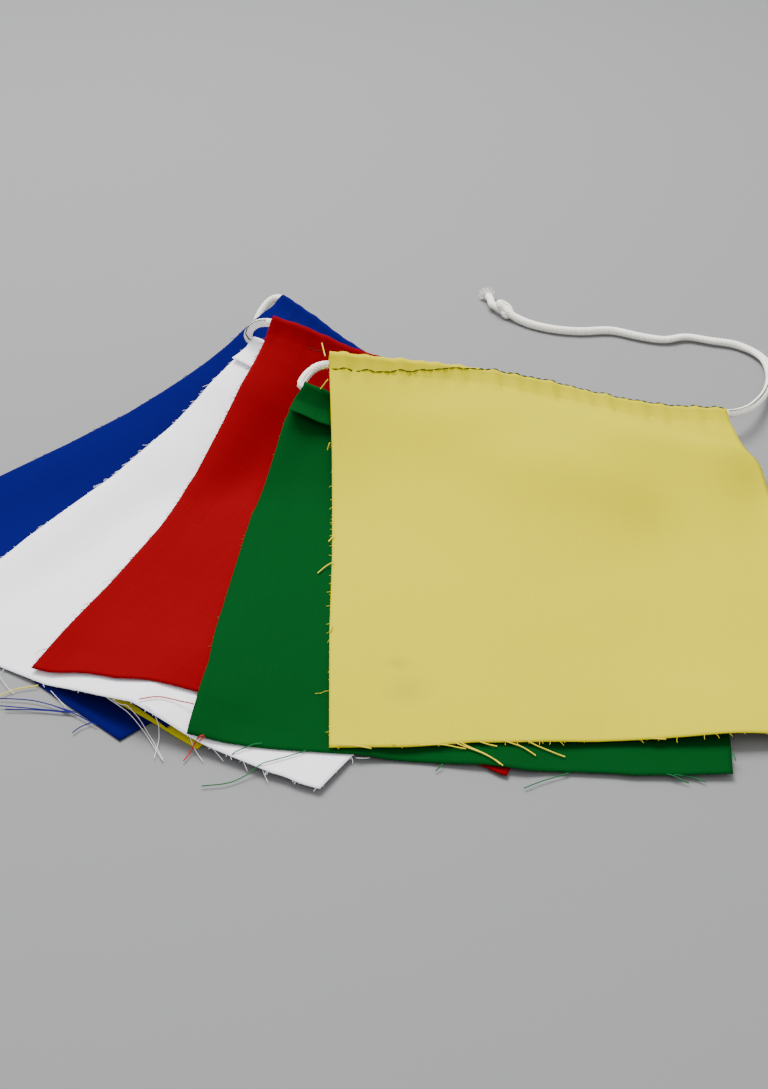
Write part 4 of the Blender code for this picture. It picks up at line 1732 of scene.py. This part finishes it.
# Long loose threads, by their places in the photograph's own points
LONG_THREADS = {
    "white": (
        ((104.6, 699.1), (127.6, 713.2), (142.9, 731), (153, 746.3), (163.3, 761.6)),
        ((112.2, 700.4), (135.2, 715.7), (148, 733.6), (163, 760)),
        ((142.9, 705.5), (155.6, 718.3), (159.4, 736.1), (154.3, 759)),
        ((0, 678), (8, 689), (14, 694)),
        ((51, 691.5), (66.3, 708)),
        ((188.8, 736), (193.9, 748.9), (202.8, 761.6)),
        ((211.7, 748.9), (223.2, 761.6)),
        ((242.3, 761.6), (247.4, 771.8)),
        ((262.8, 771.8), (267.9, 783.3)),
        ((355.9, 759), (369.9, 759)),
    ),
    "yellow": (
        ((0, 696.6), (15.3, 690.2), (38.3, 686.4)),
        ((454.3, 742.9), (480, 752.9), (502.9, 767)),
        ((460, 742.9), (483, 754), (500, 765)),
        ((502.9, 741.4), (520, 747), (535.7, 756.6)),
        ((525.7, 741.4), (545.7, 750), (565, 758)),
        ((391.4, 744.3), (402.9, 749)),
        ((337, 745.7), (354.3, 747), (371.4, 750)),
        ((420, 745.7), (445.7, 745.7), (465.7, 750)),
        ((480, 742.9), (497, 747)),
        ((651.4, 740), (665.7, 741.4)),
        ((325.2, 356.5), (322, 344.4)),
        ((328.4, 368), (322, 375.7)),
        ((327.8, 380.8), (320.5, 390.3)),
        ((329.7, 443.9), (327.5, 450.9)),
        ((334.2, 562.7), (326, 567), (317.6, 574)),
        ((334.2, 535.9), (328.6, 542.2)),
        ((332.4, 625), (330.4, 631.5)),
    ),
    "blue": (
        ((0, 699), (35.7, 701.7), (76.5, 713.2)),
        ((0, 706.8), (30.6, 709.3), (71.4, 712.7)),
        ((5, 710), (40, 711), (74, 714)),
        ((72.7, 733.6), (81.6, 727.2), (91.8, 723.4)),
        ((51, 705.5), (76.5, 715.7), (96.9, 725.9)),
    ),
    "red": (
        ((139, 700.4), (163.3, 697.9), (193.9, 705)),
        ((183.7, 761.6), (193.9, 748.9), (204, 737.4)),
        ((199, 742), (205, 739)),
    ),
    "green": (
        ((201.5, 787), (229.6, 783.3), (255, 771.8), (280.6, 759), (306, 752)),
        ((229.6, 759), (250, 746.3), (262, 744)),
        ((524.3, 789), (542.9, 781.4), (568.6, 773.7)),
        ((688.6, 784.3), (678, 780), (665.7, 774.9)),
        ((705.7, 782.9), (690, 778), (674.3, 775.7)),
        ((435.7, 771.4), (442.9, 765.7)),
        ((732.9, 754.3), (735.7, 761.4)),
    ),
}


@dataclass(frozen=True)
class LongThreads:
    """The long threads that have worked loose from the raw edges."""

    radius: float = 0.0003
    white_radius: float = 0.00014
    step: float = 0.0015
    lift: float = 0.0003
    clearance: float = 0.0006
    ease: int = 2

    def build(self, pile: Pile, view: Viewpoint, finishes: Finishes) -> None:
        """Lay each thread on the pile where the photograph shows it.

        Args:
            pile: The flags and loops.
            view: The camera.
            finishes: The materials.
        """
        for colour, routes in LONG_THREADS.items():
            radius = self.white_radius if colour == "white" else self.radius
            strands = []
            for route in routes:
                spots = np.array([view.land(pile.top, *place, radius + self.lift) for place in route])
                line = smooth_curve(spots, self.step)
                floor = sample(pile.top, line[:, 0], line[:, 1]) + radius + self.clearance
                line[:, 2] = np.maximum(line[:, 2], floor)
                strands.append(ease_kinks(line, self.ease))
            add_strands(f"threads_{colour}", strands, radius, finishes["loose_" + colour])


STITCHES = (
    StitchRun("flag_10_yellow", "green_thread", gap=0.0002, radius=0.0003),
    StitchRun("flag_08_red", "green_thread", radius=0.00016, start=0.022),
    StitchRun("flag_06_blue", "navy_thread", radius=0.00016, start=0.012),
    StitchRun("flag_09_green", "green_thread", radius=0.00018),
    StitchRun("flag_07_white", "navy_thread", radius=0.00018, start=0.012),
)
FRAYS = (
    Fray("flag_10_yellow", "loose_yellow", (Edge.LEFT, Edge.RIGHT), gap=0.004, reach=0.0009, radius=0.0001),
    Fray("flag_10_yellow", "loose_yellow", (Edge.FOOT,), gap=0.006, reach=0.0012, radius=0.0001),
    Fray("flag_09_green", "loose_green", (Edge.LEFT, Edge.RIGHT), gap=0.005, reach=0.0006, radius=0.0001),
    Fray("flag_08_red", "loose_red", (Edge.LEFT, Edge.RIGHT), gap=0.0011, reach=0.0012, radius=0.00012),
    Fray("flag_07_white", "loose_white", (Edge.LEFT,), gap=0.0009, reach=0.0014, radius=0.00012),
    Fray("flag_07_white", "loose_white", (Edge.FOOT, Edge.RIGHT), gap=0.005, reach=0.0012, radius=0.0001),
    Fray("flag_06_blue", "loose_blue", (Edge.LEFT,), gap=0.0012, reach=0.0010, radius=0.00012),
)


class FlagString:
    """The whole string of flags."""

    def __init__(self, view: Viewpoint, finishes: Finishes) -> None:
        """Take the camera and the materials.

        Args:
            view: The camera.
            finishes: The materials.
        """
        self.view = view
        self.finishes = finishes
        self.pile = Pile()
        self.cord = CordString()

    def build(self) -> None:
        """Build every piece of the string."""
        self.cord.build_tail(self.finishes)
        self.pile.lay_all()
        self.cord.build_hem_run(self.pile, self.finishes)
        self.cord.build_threads(self.pile, self.view, self.finishes)
        by_node = {}
        for flag in self.pile.flags:
            cloth = flag.build(self.finishes)
            by_node[flag.cut.node] = flag
        for run in STITCHES:
            run.build(by_node[run.flag], self.finishes)
        for fray in FRAYS:
            fray.build(by_node[fray.flag], self.finishes)
        LongThreads().build(self.pile, self.view, self.finishes)


def main() -> None:
    """Build the scene: camera, floor and light, then the string of flags."""
    logging.basicConfig(level=logging.INFO, format="%(message)s")
    view = Viewpoint()
    finishes = Finishes()
    view.build()
    Studio().build(finishes)
    FlagString(view, finishes).build()


if __name__ == "__main__":
    main()
